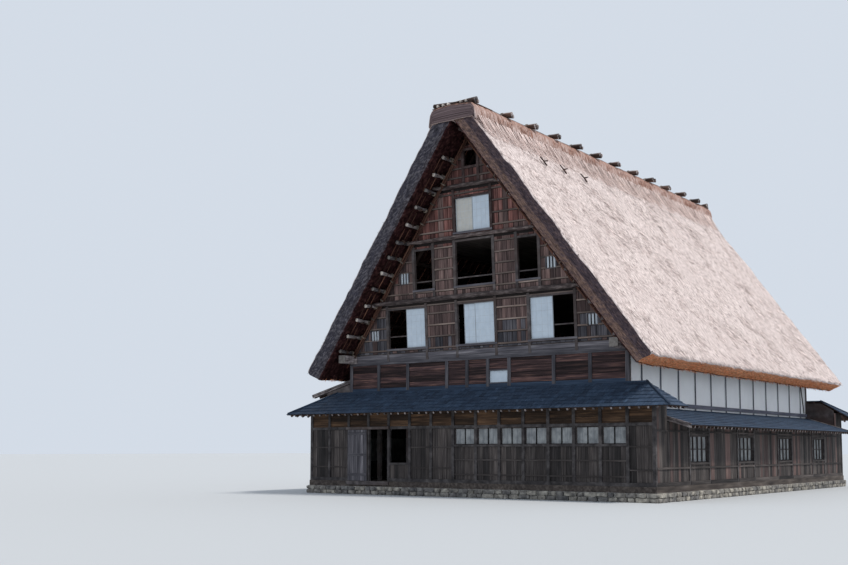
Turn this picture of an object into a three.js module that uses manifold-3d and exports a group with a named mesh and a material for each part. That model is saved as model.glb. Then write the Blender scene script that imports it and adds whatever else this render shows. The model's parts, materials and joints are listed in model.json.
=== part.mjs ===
// Steep-roofed thatched farmhouse with a board gable of four storeys at each end.
// Millimetres, +Z up. The ridge runs along Y and the front gable faces -Y.
// The origin is on the ground, in the middle of the house.
import * as THREE from "three";
import { ConvexGeometry } from "three/addons/geometries/ConvexGeometry.js";
import { mergeVertices } from "three/addons/utils/BufferGeometryUtils.js";
import Module from "manifold-3d";

const wasm = await Module();
wasm.setup();

// Driving dimensions
const GAP = 0.5; // air between pieces that rest on each other
const GABLE_Y = 9240; // gable wall plane, from mid length: 11 bays of 1515 and a short one at each end
const CORE_X = 6050; // outer face of the side walls under the eaves
const STOREY_X = 7350; // outer face of the ground storey's side walls
const AISLE = 910; // depth of the low aisle in front of each gable
const BAY = 980; // post spacing of the ground storey's front
const CORE_BAY = 1515; // post spacing of the side walls under the eaves
const FOOTING_TOP = 300;
const DECK_TOP = 500;
const LINTEL = [2450, 2550];
const WINDOW_SILL = 1860;

// Thatch: the outer slope is z = APEX - PITCH * |x|
const APEX = 14730;
const PITCH = 1.345;
const SIN = PITCH / Math.hypot(1, PITCH);
const COS = 1 / Math.hypot(1, PITCH);
const THATCH_THICK = 750;
const EAVE = { outer: 7440, inner: 6780 };
const RIDGE = { x: 922, z: 13490, crown: 13720 }; // the blunt top, under the ridge cap
const vergeY = (z) => GABLE_Y + 1100 + 0.06 * (z - 5000);

// Skirt roofs
const SKIRT_TOP = 3950;
const SKIRT_SLOPE = 0.6;
const SKIRT_BACK = 50; // the skirt's top edge stands this far in front of the gable plane
const SKIRT_OUT = 1500;
const SKIRT_THICK = 130;
const HIP_X = 6680; // where the hip leaves the top edge
const ROOF_X = HIP_X + SKIRT_OUT - SKIRT_BACK; // eave of the skirts and of both side roofs
const LEAN_TO = { top: 4445, eave: 3890, thick: 120 };
const LOW_SKIRT = { top: 3150, eave: 2500, thick: 120 };

// Gable walls lean outwards above LEAN_FROM
const LEAN = 0.057;
const LEAN_FROM = 5000;
const PANEL = 60;
const EDGE_OFFSET = 1160; // gable boards end this far in from the thatch's outer slope
const GIRT_BOW = 30;
const GIRT_CLEAR = 290; // girts end this far short of the boards, beside the double poles

const paint = (color, roughness = 0.85) =>
  new THREE.MeshStandardMaterial({ color, roughness, metalness: 0, flatShading: true });
const MATERIAL = {
  stone: paint(0x77756f, 0.95),
  boards: paint(0x5b3a2c),
  weathered: paint(0x6a625d),
  timber: paint(0x43332b),
  floor: paint(0x6b513b),
  plaster: paint(0xd9dbe0, 0.9),
  paper: paint(0xe4ebf2, 0.8),
  shingle: paint(0x28333f, 0.6),
  thatch: paint(0x9c8a80, 1),
  ridge: paint(0x6e4f43, 1),
};

// Shapes
function solidOf(geometry) {
  const bare = geometry.index ? geometry.toNonIndexed() : geometry.clone();
  bare.deleteAttribute("normal");
  bare.deleteAttribute("uv");
  const merged = mergeVertices(bare, 1e-3);
  return new wasm.Manifold(
    new wasm.Mesh({
      numProp: 3,
      vertProperties: merged.attributes.position.array,
      triVerts: new Uint32Array(merged.index.array),
    }),
  );
}

function geometryOf(solid) {
  const mesh = solid.getMesh();
  return new THREE.BufferGeometry()
    .setAttribute("position", new THREE.BufferAttribute(mesh.vertProperties, mesh.numProp))
    .setIndex(new THREE.BufferAttribute(mesh.triVerts, 1));
}

const join = (solids) => solids.reduce((whole, next) => whole.add(next));
const cut = (solid, holes) => holes.reduce((whole, hole) => whole.subtract(hole), solid);

function box([x0, x1], [y0, y1], [z0, z1]) {
  const geometry = new THREE.BoxGeometry(x1 - x0, y1 - y0, z1 - z0);
  return solidOf(geometry.translate((x0 + x1) / 2, (y0 + y1) / 2, (z0 + z1) / 2));
}

// A convex solid around corner points.
function hull(points) {
  return solidOf(new ConvexGeometry(points.map((p) => new THREE.Vector3(...p))));
}

// An outline of [x, z] points, extruded along Y.
function prism(outline, [y0, y1]) {
  const shape = new THREE.Shape(outline.map(([x, z]) => new THREE.Vector2(x, z)));
  const geometry = new THREE.ExtrudeGeometry(shape, { depth: y1 - y0, bevelEnabled: false });
  return solidOf(geometry.rotateX(Math.PI / 2).translate(0, y1, 0));
}

// A round log along a smooth curve.
function log(points, radius, sides, steps) {
  const section = new THREE.Shape();
  for (let i = 0; i < sides; i++) {
    const turn = ((i + 0.5) * 2 * Math.PI) / sides;
    const corner = [radius * Math.cos(turn), radius * Math.sin(turn)];
    if (i) section.lineTo(...corner);
    else section.moveTo(...corner);
  }
  const path = new THREE.CatmullRomCurve3(points.map((p) => new THREE.Vector3(...p)));
  return solidOf(
    new THREE.ExtrudeGeometry(section, { steps, extrudePath: path, bevelEnabled: false }),
  );
}

// A sheet with the given top faces, each a loop of [x, y, z] seen anticlockwise from above.
function sheet(faces, thickness) {
  const corners = [];
  const lower = ([x, y, z]) => [x, y, z - thickness];
  const triangle = (a, b, c) => corners.push(...a, ...b, ...c);
  const key = (a, b) => a.join() + "|" + b.join();
  const edges = new Map();
  for (const face of faces) {
    for (let i = 1; i + 1 < face.length; i++) {
      triangle(face[0], face[i], face[i + 1]);
      triangle(lower(face[0]), lower(face[i + 1]), lower(face[i]));
    }
    face.forEach((a, i) => {
      const b = face[(i + 1) % face.length];
      edges.set(key(a, b), [a, b]);
    });
  }
  for (const [a, b] of edges.values()) {
    if (edges.has(key(b, a))) continue;
    triangle(a, lower(a), lower(b));
    triangle(a, lower(b), b);
  }
  const geometry = new THREE.BufferGeometry();
  geometry.setAttribute("position", new THREE.Float32BufferAttribute(corners, 3));
  return solidOf(geometry);
}

const house = new THREE.Group();

function place(name, solid, material, parent = house) {
  const mesh = new THREE.Mesh(geometryOf(solid), material);
  mesh.name = name;
  parent.add(mesh);
}

// Ground: footing and deck
function stoneFooting() {
  const wide = 350;
  const outerX = STOREY_X + 60;
  const outerY = GABLE_Y + AISLE + 60;
  const wallsX = [-outerX, -CORE_X, CORE_X - wide, outerX - wide];
  const wallsY = [-outerY, -GABLE_Y, GABLE_Y - wide, outerY - wide];
  const rooms = [];
  for (let i = 0; i < 3; i++) {
    for (let j = 0; j < 3; j++) {
      const x = [wallsX[i] + wide, wallsX[i + 1]];
      const y = [wallsY[j] + wide, wallsY[j + 1]];
      rooms.push(box(x, y, [-1, FOOTING_TOP]));
    }
  }
  return cut(box([-outerX, outerX], [-outerY, outerY], [0, FOOTING_TOP - GAP]), rooms);
}

function groundDeck() {
  const x = STOREY_X + 20;
  const y = GABLE_Y + AISLE + 20;
  return box([-x, x], [-y, y], [FOOTING_TOP, DECK_TOP - GAP]);
}

// Ground storey, in the frame of one end: the gable plane is y = 0 and outside is -y
const FACE_Y = -AISLE;
const WALL_TOP = 3280;
const POST = 110;
const DOOR_BAY = 3;
const CORNER_X = STOREY_X - POST / 2;
const postX = (i) => THREE.MathUtils.clamp(-STOREY_X + BAY * i, -CORNER_X, CORNER_X);
const FRAME = 100; // posts and rails
const BOARD = 40; // boards, flush with the frame's inner face

// A framed wall from post a to post b. kinds names what fills each bay.
const FILLING = {
  boards: { panels: [[DECK_TOP + 120, LINTEL[0]]], holes: [] },
  window: { panels: [[DECK_TOP + 120, WINDOW_SILL - 70]], holes: [[WINDOW_SILL, LINTEL[0]]] },
  opening: { panels: [[DECK_TOP + 120, 1130]], holes: [[1200, LINTEL[0]]] },
};
const FRIEZE = [LINTEL[1], WALL_TOP - 60];

function groundWall(a, b, kinds) {
  const ends = [postX(a) - POST / 2, postX(b) + POST / 2];
  const away = [];
  for (let i = a; i < b; i++) {
    const x = [postX(i) + POST / 2, postX(i + 1) - POST / 2];
    const { panels, holes } = FILLING[kinds(i)];
    for (const z of [...panels, FRIEZE]) away.push(box(x, [FACE_Y - 1, FACE_Y + FRAME - BOARD], z));
    for (const z of holes) away.push(box(x, [FACE_Y - 1, FACE_Y + FRAME + 1], z));
  }
  return cut(box(ends, [FACE_Y, FACE_Y + FRAME], [DECK_TOP, WALL_TOP]), away);
}

const WINDOW_BAYS = [7, 14];
const isWindow = (i) => i >= WINDOW_BAYS[0] && i < WINDOW_BAYS[1];
const frontBay = (i) => (i === DOOR_BAY + 1 ? "opening" : rearBay(i));
const rearBay = (i) => (isWindow(i) ? "window" : "boards");

function wallOverDoor() {
  const ends = [postX(DOOR_BAY) + POST / 2 + GAP, postX(DOOR_BAY + 1) - POST / 2 - GAP];
  const frame = box(ends, [FACE_Y, FACE_Y + FRAME], [LINTEL[0], WALL_TOP]);
  const pocket = box([ends[0] - 1, ends[1] + 1], [FACE_Y - 1, FACE_Y + FRAME - BOARD], FRIEZE);
  return cut(frame, [pocket]);
}

function windowSashes() {
  const ends = [postX(WINDOW_BAYS[0]) + 20, postX(WINDOW_BAYS[1]) - 20];
  return box(ends, [FACE_Y + FRAME + 5, FACE_Y + FRAME + 35], [WINDOW_SILL - 30, LINTEL[0] + 30]);
}

// The sliding board door stands open, in front of the bay left of its doorway
const DOOR = { x: [-5370, -4430], y: [FACE_Y - 55, FACE_Y - 15], z: [DECK_TOP + 10, LINTEL[0] - 8] };
const DOOR_RUN = [-5450, -3380];

function boardDoor() {
  const battens = [700, 1450, 2250].map((z) =>
    box([DOOR.x[0] + 30, DOOR.x[1] - 30], [DOOR.y[0] - 20, DOOR.y[0] + 5], [z, z + 90]),
  );
  return join([box(DOOR.x, DOOR.y, DOOR.z), ...battens]);
}

const doorSill = () => box(DOOR_RUN, [FACE_Y - 80, FACE_Y - 20 - GAP], [FOOTING_TOP + 60, DECK_TOP]);
const doorHead = () => box(DOOR_RUN, [FACE_Y - 80, FACE_Y - GAP], LINTEL);

// Hipped skirt roof over the aisle of one end
function endSkirt() {
  const out = -SKIRT_OUT;
  const eaveZ = SKIRT_TOP - SKIRT_SLOPE * (SKIRT_OUT - SKIRT_BACK);
  const top = (side) => [side * HIP_X, -SKIRT_BACK, SKIRT_TOP];
  const corner = (side) => [side * ROOF_X, out, eaveZ];
  const back = (side) => [side * ROOF_X, -SKIRT_BACK, eaveZ];
  const slope = [corner(-1), corner(1), top(1), top(-1)];
  const rightHip = [corner(1), back(1), top(1)];
  const leftHip = [corner(-1), top(-1), back(-1)];
  return sheet([slope, rightHip, leftHip], SKIRT_THICK);
}

// Mezzanine wall over the skirt, with posts that run down to the deck and an upstand beside
// the core on both sides. leanToSide is -1 or 1: the side with the high lean-to roof.
const MEZZANINE_POSTS = [455, 1365, 3185, 4600, CORE_X - 65];
const MEZZANINE_TOP = 5055;
const MEZZANINE_WINDOW = { x: [520, 1300], z: [4100, 4520] };

function mezzanineWall(leanToSide) {
  const boards = box([-CORE_X, CORE_X], [0, PANEL], [3700, MEZZANINE_TOP]);
  const { x, z } = MEZZANINE_WINDOW;
  const posts = MEZZANINE_POSTS.flatMap((at) => [-at, at]).map((at) =>
    box([at - 65, at + 65], [-45, 100], [DECK_TOP, MEZZANINE_TOP]),
  );
  const outer = STOREY_X - 85;
  const fall = (LEAN_TO.top - LEAN_TO.eave) / (ROOF_X - CORE_X);
  const under = LEAN_TO.top - LEAN_TO.thick - 40;
  const high = [
    [CORE_X - 40, 2600],
    [outer, 2600],
    [outer, under - fall * (outer - CORE_X)],
    [CORE_X - 40, under],
  ];
  const low = [
    [CORE_X - 40, 2600],
    [outer, 2600],
    [outer, SKIRT_TOP - SKIRT_SLOPE * (outer - HIP_X) - SKIRT_THICK],
    [HIP_X, SKIRT_TOP - SKIRT_THICK],
    [CORE_X - 40, SKIRT_TOP - SKIRT_THICK],
  ];
  const turned = (outline, side) => (side > 0 ? outline : outline.map(([px, pz]) => [-px, pz]).reverse());
  return join([
    cut(boards, [box(x, [-PANEL, 2 * PANEL], z)]),
    ...posts,
    prism(turned(high, leanToSide), [0, PANEL]),
    prism(turned(low, -leanToSide), [0, PANEL]),
  ]);
}

function mezzanineSash() {
  const { x, z } = MEZZANINE_WINDOW;
  return box([x[0] + 2, x[1] - 2], [15, 45], [z[0] + 2, z[1] - 2]);
}

// Gable storeys, in the leaning frame of one end: heights are as on the upright wall
const STOREYS = [
  {
    level: 2,
    z: [5080, 7300],
    windows: [
      { x: [-800, 800], z: [5560, 7040] },
      { x: [-4050, -2300], z: [5560, 7040], rail: 6000 },
      { x: [2300, 4050], z: [5560, 7040], rail: 6000 },
    ],
    vents: [4750, [5940, 6270]],
  },
  {
    level: 3,
    z: [7300, 9505],
    girt: 88,
    windows: [
      { x: [-800, 800], z: [7730, 9350], rail: 8000 },
      { x: [-2700, -1880], z: [7730, 9200], rail: 8000 },
      { x: [1880, 2700], z: [7730, 9200], rail: 8000 },
    ],
    vents: [3215, [8030, 8390]],
  },
  { level: 4, z: [9505, 11385], girt: 70, windows: [{ x: [-760, 760], z: [9710, 10960] }] },
  { level: 5, z: [11385, 12900], girt: 70, windows: [{ x: [-270, 270], z: [12100, 12680] }] },
];
const PLATE_CLEAR = { x: 5680, z: 5380 }; // the lowest boards stop beside the wall plate
const halfWidth = (z) => (APEX - z) / PITCH - EDGE_OFFSET;

function gableWall(storey, above) {
  const [z0, z1] = storey.z;
  const side =
    storey.level === 2
      ? [[PLATE_CLEAR.x, z0], [PLATE_CLEAR.x, PLATE_CLEAR.z], [halfWidth(PLATE_CLEAR.z), PLATE_CLEAR.z]]
      : [[halfWidth(z0), z0]];
  const right = [...side, [halfWidth(z1), z1]];
  const outline = [...right, ...right.map(([x, z]) => [-x, z]).reverse()];
  const foot = z0 + GAP;
  const boards = prism(outline.map(([x, z]) => [x, Math.max(z, foot)]), [0, PANEL]);
  const postTop = above ? z1 - above.girt - 6 : z1 - 200;
  const holes = storey.windows.map(({ x, z }) => box(x, [-PANEL, 2 * PANEL], z));
  const pieces = [];
  for (const { x, z, rail } of storey.windows) {
    for (const [px0, px1] of [[x[0] - 110, x[0]], [x[1], x[1] + 110]]) {
      const top = Math.min(postTop, APEX - PITCH * (Math.max(-px0, px1) + EDGE_OFFSET));
      pieces.push(box([px0, px1], [-60, PANEL], [foot, top]));
    }
    pieces.push(box([x[0] - 10, x[1] + 10], [-50, PANEL], [z[1], z[1] + 70]));
    pieces.push(box([x[0] - 10, x[1] + 10], [-50, PANEL], [z[0] - 70, z[0]]));
    if (rail) pieces.push(box([x[0] - 60, x[1] + 60], [PANEL - 5, PANEL + 35], [rail, rail + 45]));
  }
  if (storey.vents) {
    const [centre, z] = storey.vents;
    for (const at of [-centre, centre]) {
      holes.push(box([at - 180, at + 180], [-PANEL, 2 * PANEL], z));
    }
  }
  if (storey.level === 2) {
    pieces.push(box([-PLATE_CLEAR.x, PLATE_CLEAR.x], [-40, 5], [foot, foot + 260]));
  }
  if (storey.girt) {
    const y = -storey.girt - GAP;
    const end = halfWidth(z0) - GIRT_CLEAR;
    const rise = [0, 0.8, 1, 0.6, 0];
    const bow = rise.map((share, i) => [end * (i / 2 - 1), y, z0 + GIRT_BOW * share]);
    pieces.push(log(bow, storey.girt, 8, 6));
  }
  return join([cut(boards, holes), ...pieces]);
}

// Paper sashes in the leaning frame: one leaf, or two that lap
const LEAF = 25;
const leaf = (x, z, y) => box(x, [y, y + LEAF], [z[0] + 2, z[1] - 2]);

function lappedSashes(left, right, z) {
  return join([leaf(left, z, 32), leaf(right, z, 8)]);
}

// Side walls of the ground storey: boards on the line of the storey's outer posts
const SIDE_BOARDS_X = [-STOREY_X + 40, -STOREY_X + 80];
const SIDE_POST_X = [-STOREY_X, -STOREY_X + 120];
const SIDE_WINDOWS = [-6600, -2200, 2200, 6600];
const SIDE_WINDOW = { half: 800, z: [1250, 2150] };
const AISLE_SIDE_TOP = 3360; // under the hips of the end skirts

// The long wall, built on the left
function sideGroundWall(top) {
  const end = GABLE_Y - GAP;
  const boards = box(SIDE_BOARDS_X, [-end, end], [DECK_TOP, top]);
  const edge = SIDE_WINDOW.half + 55;
  const holes = SIDE_WINDOWS.map((y) =>
    box(SIDE_POST_X, [y - SIDE_WINDOW.half, y + SIDE_WINDOW.half], SIDE_WINDOW.z),
  );
  const posts = SIDE_WINDOWS.flatMap((y) => [y - edge, y + edge]).map((y) =>
    box(SIDE_POST_X, [y - 55, y + 55], [DECK_TOP, top]),
  );
  return join([cut(boards, holes), ...posts]);
}

// The short wall at one side of an end's aisle, in that end's frame
function aisleSideWall(side) {
  const x = SIDE_BOARDS_X.map((at) => -side * at).sort((a, b) => a - b);
  return box(x, [FACE_Y + FRAME + GAP, 0], [DECK_TOP, AISLE_SIDE_TOP]);
}

function sideSashes() {
  return box(
    [-STOREY_X + 125, -STOREY_X + 150],
    [SIDE_WINDOWS.at(0) - SIDE_WINDOW.half - 30, SIDE_WINDOWS.at(-1) + SIDE_WINDOW.half + 30],
    [SIDE_WINDOW.z[0] - 30, SIDE_WINDOW.z[1] + 30],
  );
}

// Roof along one side, built on the left
function sideRoof({ top, eave, thick }, endY) {
  const x0 = -CORE_X - 2;
  const surface = [[-ROOF_X, -endY, eave], [x0, -endY, top], [x0, endY, top], [-ROOF_X, endY, eave]];
  return sheet([surface], thick);
}

// Side wall under the eave, built on the left: plaster between posts. Some posts reach the deck.
const EAVE_WALL = { z: [3000, 5040], posts: 6, legs: [1, 4] }; // posts and legs are counted from mid length

function eaveWall() {
  const end = GABLE_Y - 105;
  const pieces = [box([-CORE_X + 30, -CORE_X + 90], [-end, end], EAVE_WALL.z)];
  for (let i = 0; i < EAVE_WALL.posts; i++) {
    const foot = EAVE_WALL.legs.includes(i) ? DECK_TOP : EAVE_WALL.z[0];
    for (const side of [-1, 1]) {
      const y = side * CORE_BAY * (i + 0.5);
      pieces.push(box([-CORE_X, -CORE_X + 90], [y - 60, y + 60], [foot, EAVE_WALL.z[1]]));
    }
  }
  return join(pieces);
}

// Roof frame of one slope: plate, purlins, rafters, and a double pole outside each gable
const slopeX = (z, depth) => (APEX - z) / PITCH - depth / SIN;
const slopeZ = (x, depth) => APEX - PITCH * (x + depth / SIN);
const PURLIN = { top: THATCH_THICK + 5, size: 150, lowest: 5490, step: 572.5, count: 13, reach: 1000 };
const RAFTER = { top: PURLIN.top + PURLIN.size - 20, size: 200, foot: 5200 };
const POLES = { out: 140, half: 75, deep: 190 }; // close in front of the gable boards
const PLATE = { x: [5700, 6020], z: [5060, 5360], reach: 780 };

// A bar down the slope between two depths under the thatch's outer face; lean(z) shifts it along Y.
function slopeBar(side, [top, bottom], foot, [y0, y1], lean = () => 0) {
  const at = (x, z) => [y0, y1].map((y) => [side * x, y + lean(z), z]);
  return hull([
    ...at(1, slopeZ(1, top)),
    ...at(1, slopeZ(1, bottom)),
    ...at(slopeX(foot, top), foot),
    ...at(slopeX(foot, bottom), foot),
  ]);
}

function purlin(side, z) {
  const y = GABLE_Y + PURLIN.reach + 0.04 * (z - PURLIN.lowest);
  const x = slopeX(z, PURLIN.top + PURLIN.size / 2);
  const half = PURLIN.size / 2;
  const corners = [[-1, -1], [1, -1], [1, 1], [-1, 1]].map(([u, v]) => [
    side * (x + half * (u * COS + v * SIN)),
    z + half * (v * COS - u * SIN),
  ]);
  return hull(corners.flatMap(([px, pz]) => [[px, -y, pz], [px, y, pz]]));
}

function roofFrame(side) {
  const pieces = [];
  for (let k = 0; k < PURLIN.count; k++) pieces.push(purlin(side, PURLIN.lowest + k * PURLIN.step));
  const plateX = PLATE.x.map((x) => side * x).sort((a, b) => a - b);
  const plateY = GABLE_Y + PLATE.reach;
  pieces.push(box(plateX, [-plateY, plateY], PLATE.z));
  const depth = [RAFTER.top, RAFTER.top + RAFTER.size];
  const inner = GABLE_Y - 350;
  for (const y of [-1, -1 / 3, 1 / 3, 1].map((n) => n * inner)) {
    pieces.push(slopeBar(side, depth, RAFTER.foot, [y - 80, y + 80]));
  }
  for (const end of [-1, 1]) {
    const y = end * (GABLE_Y + POLES.out);
    const width = [y - POLES.half, y + POLES.half];
    const lean = (z) => end * LEAN * (z - LEAN_FROM);
    pieces.push(slopeBar(side, [RAFTER.top, RAFTER.top + POLES.deep], RAFTER.foot, width, lean));
  }
  return join(pieces);
}

const ridgePole = () => box([-70, 70], [-GABLE_Y - 1100, GABLE_Y + 1100], [13255, 13360]);

// Loft floors: the lowest lies on the side walls, and the others reach the rafters
const LOFT_FLOORS = [
  { level: 2, top: 5050, half: CORE_X - 130, endY: GABLE_Y - 110 },
  { level: 3, top: 7380, endY: GABLE_Y - 10 },
  { level: 4, top: 9560, endY: GABLE_Y - 10 },
  { level: 5, top: 11440, endY: GABLE_Y - 10 },
];
const LOFT_FLOOR_THICK = 120;

function loftFloor({ top, half, endY }) {
  const reach = half ?? slopeX(top, RAFTER.top + RAFTER.size + 20);
  return box([-reach, reach], [-endY, endY], [top - LOFT_FLOOR_THICK, top]);
}

function thatchSlope(side) {
  const profile = [
    [GAP, slopeZ(GAP, THATCH_THICK)],
    [EAVE.inner, slopeZ(EAVE.inner, THATCH_THICK)],
    [EAVE.outer, slopeZ(EAVE.outer, 0)],
    [RIDGE.x, slopeZ(RIDGE.x, 0)],
    [GAP, RIDGE.crown],
  ];
  return hull(profile.flatMap(([x, z]) => [[side * x, -vergeY(z), z], [side * x, vergeY(z), z]]));
}

// Ridge: a thatched cap that sits astride the slopes, poles along it, and cross logs over them
const CAP_Y = GABLE_Y + 1640;
const CAP_CLEAR = 6;

function ridgeCap() {
  const foot = 1020;
  const under = [[RIDGE.x + 3, RIDGE.z + 3], [foot, APEX - PITCH * foot + CAP_CLEAR]];
  const over = [[1060, 13400], [1045, 13600], [1000, 13820], [900, 13985], [600, 14048]];
  const half = [...under, ...over];
  const left = half.map(([x, z]) => [-x, z]).reverse();
  const outline = [[0, RIDGE.crown + GAP], ...half, [0, 14100], ...left];
  return prism(outline, [-CAP_Y, CAP_Y]);
}

const WEIGHT_POLE = { x: 620, z: 14115, radius: 55, end: CAP_Y - 20 };
const CROSS_LOG = { reach: 1120, z: 14190, droop: 80, radius: 78 };
const CROSS_ROW = { first: -8450, spacing: 1760, count: 11, end: CAP_Y - 110 };

function ridgePolesAndLogs() {
  const pieces = [-WEIGHT_POLE.x, WEIGHT_POLE.x].map((x) => {
    const ends = [-WEIGHT_POLE.end, WEIGHT_POLE.end].map((y) => [x, y, WEIGHT_POLE.z]);
    return log(ends, WEIGHT_POLE.radius, 6, 1);
  });
  const rows = [-CROSS_ROW.end, CROSS_ROW.end];
  for (let k = 0; k < CROSS_ROW.count; k++) rows.push(CROSS_ROW.first + k * CROSS_ROW.spacing);
  for (const y of rows) {
    const { reach, z, droop, radius } = CROSS_LOG;
    const bent = [[-reach, y, z - droop], [0, y, z], [reach, y, z - droop]];
    pieces.push(log(bent, radius, 6, 4));
  }
  return join(pieces);
}

// One end of the house. Its storeys hang in a group that leans outwards.
function buildEnd(end) {
  const front = end === "front";
  const leanToSide = front ? -1 : 1;
  const upright = new THREE.Group();
  upright.position.y = front ? -GABLE_Y : GABLE_Y;
  upright.rotation.z = front ? 0 : Math.PI;
  house.add(upright);
  const leaning = new THREE.Group();
  leaning.position.z = LEAN_FROM;
  leaning.rotation.x = LEAN;
  upright.add(leaning);
  const storeys = new THREE.Group();
  storeys.position.z = -LEAN_FROM;
  leaning.add(storeys);

  if (front) {
    place("front_wall_left_of_door", groundWall(0, DOOR_BAY, frontBay), MATERIAL.boards, upright);
    place("front_wall_over_door", wallOverDoor(), MATERIAL.boards, upright);
    const rightWall = groundWall(DOOR_BAY + 1, 15, frontBay);
    place("front_wall_right_of_door", rightWall, MATERIAL.boards, upright);
    place("entrance_door", boardDoor(), MATERIAL.weathered, upright);
    place("door_sill_rail", doorSill(), MATERIAL.weathered, upright);
    place("door_head_rail", doorHead(), MATERIAL.weathered, upright);
  } else {
    place("rear_ground_wall", groundWall(0, 15, rearBay), MATERIAL.boards, upright);
  }
  place(`${end}_aisle_wall_left`, aisleSideWall(-1), MATERIAL.boards, upright);
  place(`${end}_aisle_wall_right`, aisleSideWall(1), MATERIAL.boards, upright);
  place(`${end}_ground_sashes`, windowSashes(), MATERIAL.paper, upright);
  place(`${end}_skirt_roof`, endSkirt(), MATERIAL.shingle, upright);
  place(`${end}_mezzanine_wall`, mezzanineWall(leanToSide), MATERIAL.boards, upright);
  place(`${end}_mezzanine_sash`, mezzanineSash(), MATERIAL.paper, upright);

  STOREYS.forEach((storey, i) => {
    const wall = gableWall(storey, STOREYS[i + 1]);
    place(`${end}_gable_wall_${storey.level}`, wall, MATERIAL.boards, storeys);
  });
  const low = STOREYS[0].windows[0].z;
  const high = STOREYS[2].windows[0].z;
  const centre = lappedSashes([-550, 250], [-60, 798], low);
  place(`${end}_center_sashes_2`, centre, MATERIAL.paper, storeys);
  place(`${end}_left_sash_2`, leaf([-3210, -2302], low, 8), MATERIAL.paper, storeys);
  place(`${end}_right_sash_2`, leaf([2302, 3210], low, 8), MATERIAL.paper, storeys);
  place(`${end}_sashes_4`, lappedSashes([-758, 20], [-20, 758], high), MATERIAL.paper, storeys);
}

// One side of the house: a lean-to roof on the left and a lower skirt roof on the right
const SIDES = [
  { side: "left", sign: -1, roofName: "left_lean_to_roof", roof: LEAN_TO, endY: GABLE_Y - 2 },
  { side: "right", sign: 1, roofName: "right_skirt_roof", roof: LOW_SKIRT, endY: GABLE_Y - 70 },
];

function buildSide({ side, sign, roofName, roof, endY }) {
  const half = new THREE.Group();
  half.rotation.z = sign < 0 ? 0 : Math.PI;
  house.add(half);
  const fall = (roof.top - roof.eave) / (ROOF_X - CORE_X);
  const wallTop = roof.top - fall * (STOREY_X - CORE_X) - roof.thick - 30;
  place(`${side}_ground_wall`, sideGroundWall(wallTop), MATERIAL.boards, half);
  place(`${side}_ground_sashes`, sideSashes(), MATERIAL.paper, half);
  place(roofName, sideRoof(roof, endY), MATERIAL.shingle, half);
  place(`${side}_eave_wall`, eaveWall(), MATERIAL.plaster, half);
  place(`${side}_roof_frame`, roofFrame(sign), MATERIAL.timber);
  place(`${side}_thatch`, thatchSlope(sign), MATERIAL.thatch);
}

// The house
place("stone_footing", stoneFooting(), MATERIAL.stone);
place("ground_floor_deck", groundDeck(), MATERIAL.floor);
["front", "rear"].forEach(buildEnd);
SIDES.forEach(buildSide);
for (const floor of LOFT_FLOORS) {
  place(`loft_floor_${floor.level}`, loftFloor(floor), MATERIAL.floor);
}
place("ridge_pole", ridgePole(), MATERIAL.timber);
place("ridge_cap", ridgeCap(), MATERIAL.ridge);
place("ridge_poles_and_cross_logs", ridgePolesAndLogs(), MATERIAL.timber);

export default house;
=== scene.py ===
"""Looks of the steep-roofed thatched farmhouse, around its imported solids. Metres, +Z up, ridge along Y."""
import json
import math

import bpy
import numpy as np
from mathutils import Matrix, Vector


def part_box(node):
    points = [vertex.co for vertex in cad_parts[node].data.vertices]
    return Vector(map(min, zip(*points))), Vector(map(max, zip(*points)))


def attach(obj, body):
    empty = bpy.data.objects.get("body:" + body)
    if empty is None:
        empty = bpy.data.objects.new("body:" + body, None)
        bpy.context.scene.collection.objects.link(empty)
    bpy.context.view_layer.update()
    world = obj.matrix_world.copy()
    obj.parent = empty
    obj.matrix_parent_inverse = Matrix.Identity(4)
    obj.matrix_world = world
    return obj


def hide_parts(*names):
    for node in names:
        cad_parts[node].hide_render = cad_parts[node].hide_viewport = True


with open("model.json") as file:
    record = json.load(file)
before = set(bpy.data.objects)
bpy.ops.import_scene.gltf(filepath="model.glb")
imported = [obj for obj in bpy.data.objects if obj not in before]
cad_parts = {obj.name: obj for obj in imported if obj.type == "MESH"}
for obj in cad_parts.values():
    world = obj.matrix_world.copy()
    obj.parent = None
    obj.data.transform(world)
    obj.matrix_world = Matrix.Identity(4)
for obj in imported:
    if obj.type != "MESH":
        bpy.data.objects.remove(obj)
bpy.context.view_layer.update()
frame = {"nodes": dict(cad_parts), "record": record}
HOUSE = "house"
DOOR = "door"

# Driving dimensions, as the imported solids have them
GABLE_Y = 9.24
AISLE = 0.91
APEX = 14.73
PITCH = 1.345
SLOPE = math.hypot(1, PITCH)
SIN = PITCH / SLOPE
COS = 1 / SLOPE
THATCH = 0.75
EAVE_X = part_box("right_thatch")[1].x
EAVE_Z = APEX - PITCH * EAVE_X
EAVE_INNER_X = 6.78
RIDGE_Z = 13.49
CAP_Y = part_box("ridge_cap")[1].y
LEAN = 0.057
LEAN_FROM = 5.0
EDGE_OFFSET = 1.16
DECK_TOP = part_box("ground_floor_deck")[1].z
CORE_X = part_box("right_eave_wall")[1].x
CORE_BAY = 1.515
STOREY_X = 7.35
BAY = 0.98
POST = 0.11
SKIRT_TOP = 3.95
SKIRT_SLOPE = 0.6
SKIRT_BACK = 0.05
SKIRT_OUT = 1.5
HIP_X = 6.68
ROOF_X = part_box("front_skirt_roof")[1].x
LINTEL = (2.45, 2.55)
WINDOW_SILL = 1.86
MEZZANINE_POSTS = (0.455, 1.365, 3.185, 4.6, CORE_X - 0.065)
MEZZANINE_WINDOW = (0.52, 1.30, 4.10, 4.52)


def add_object(name, data):
    made = bpy.data.objects.new(name, data)
    bpy.context.scene.collection.objects.link(made)
    return made


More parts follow.
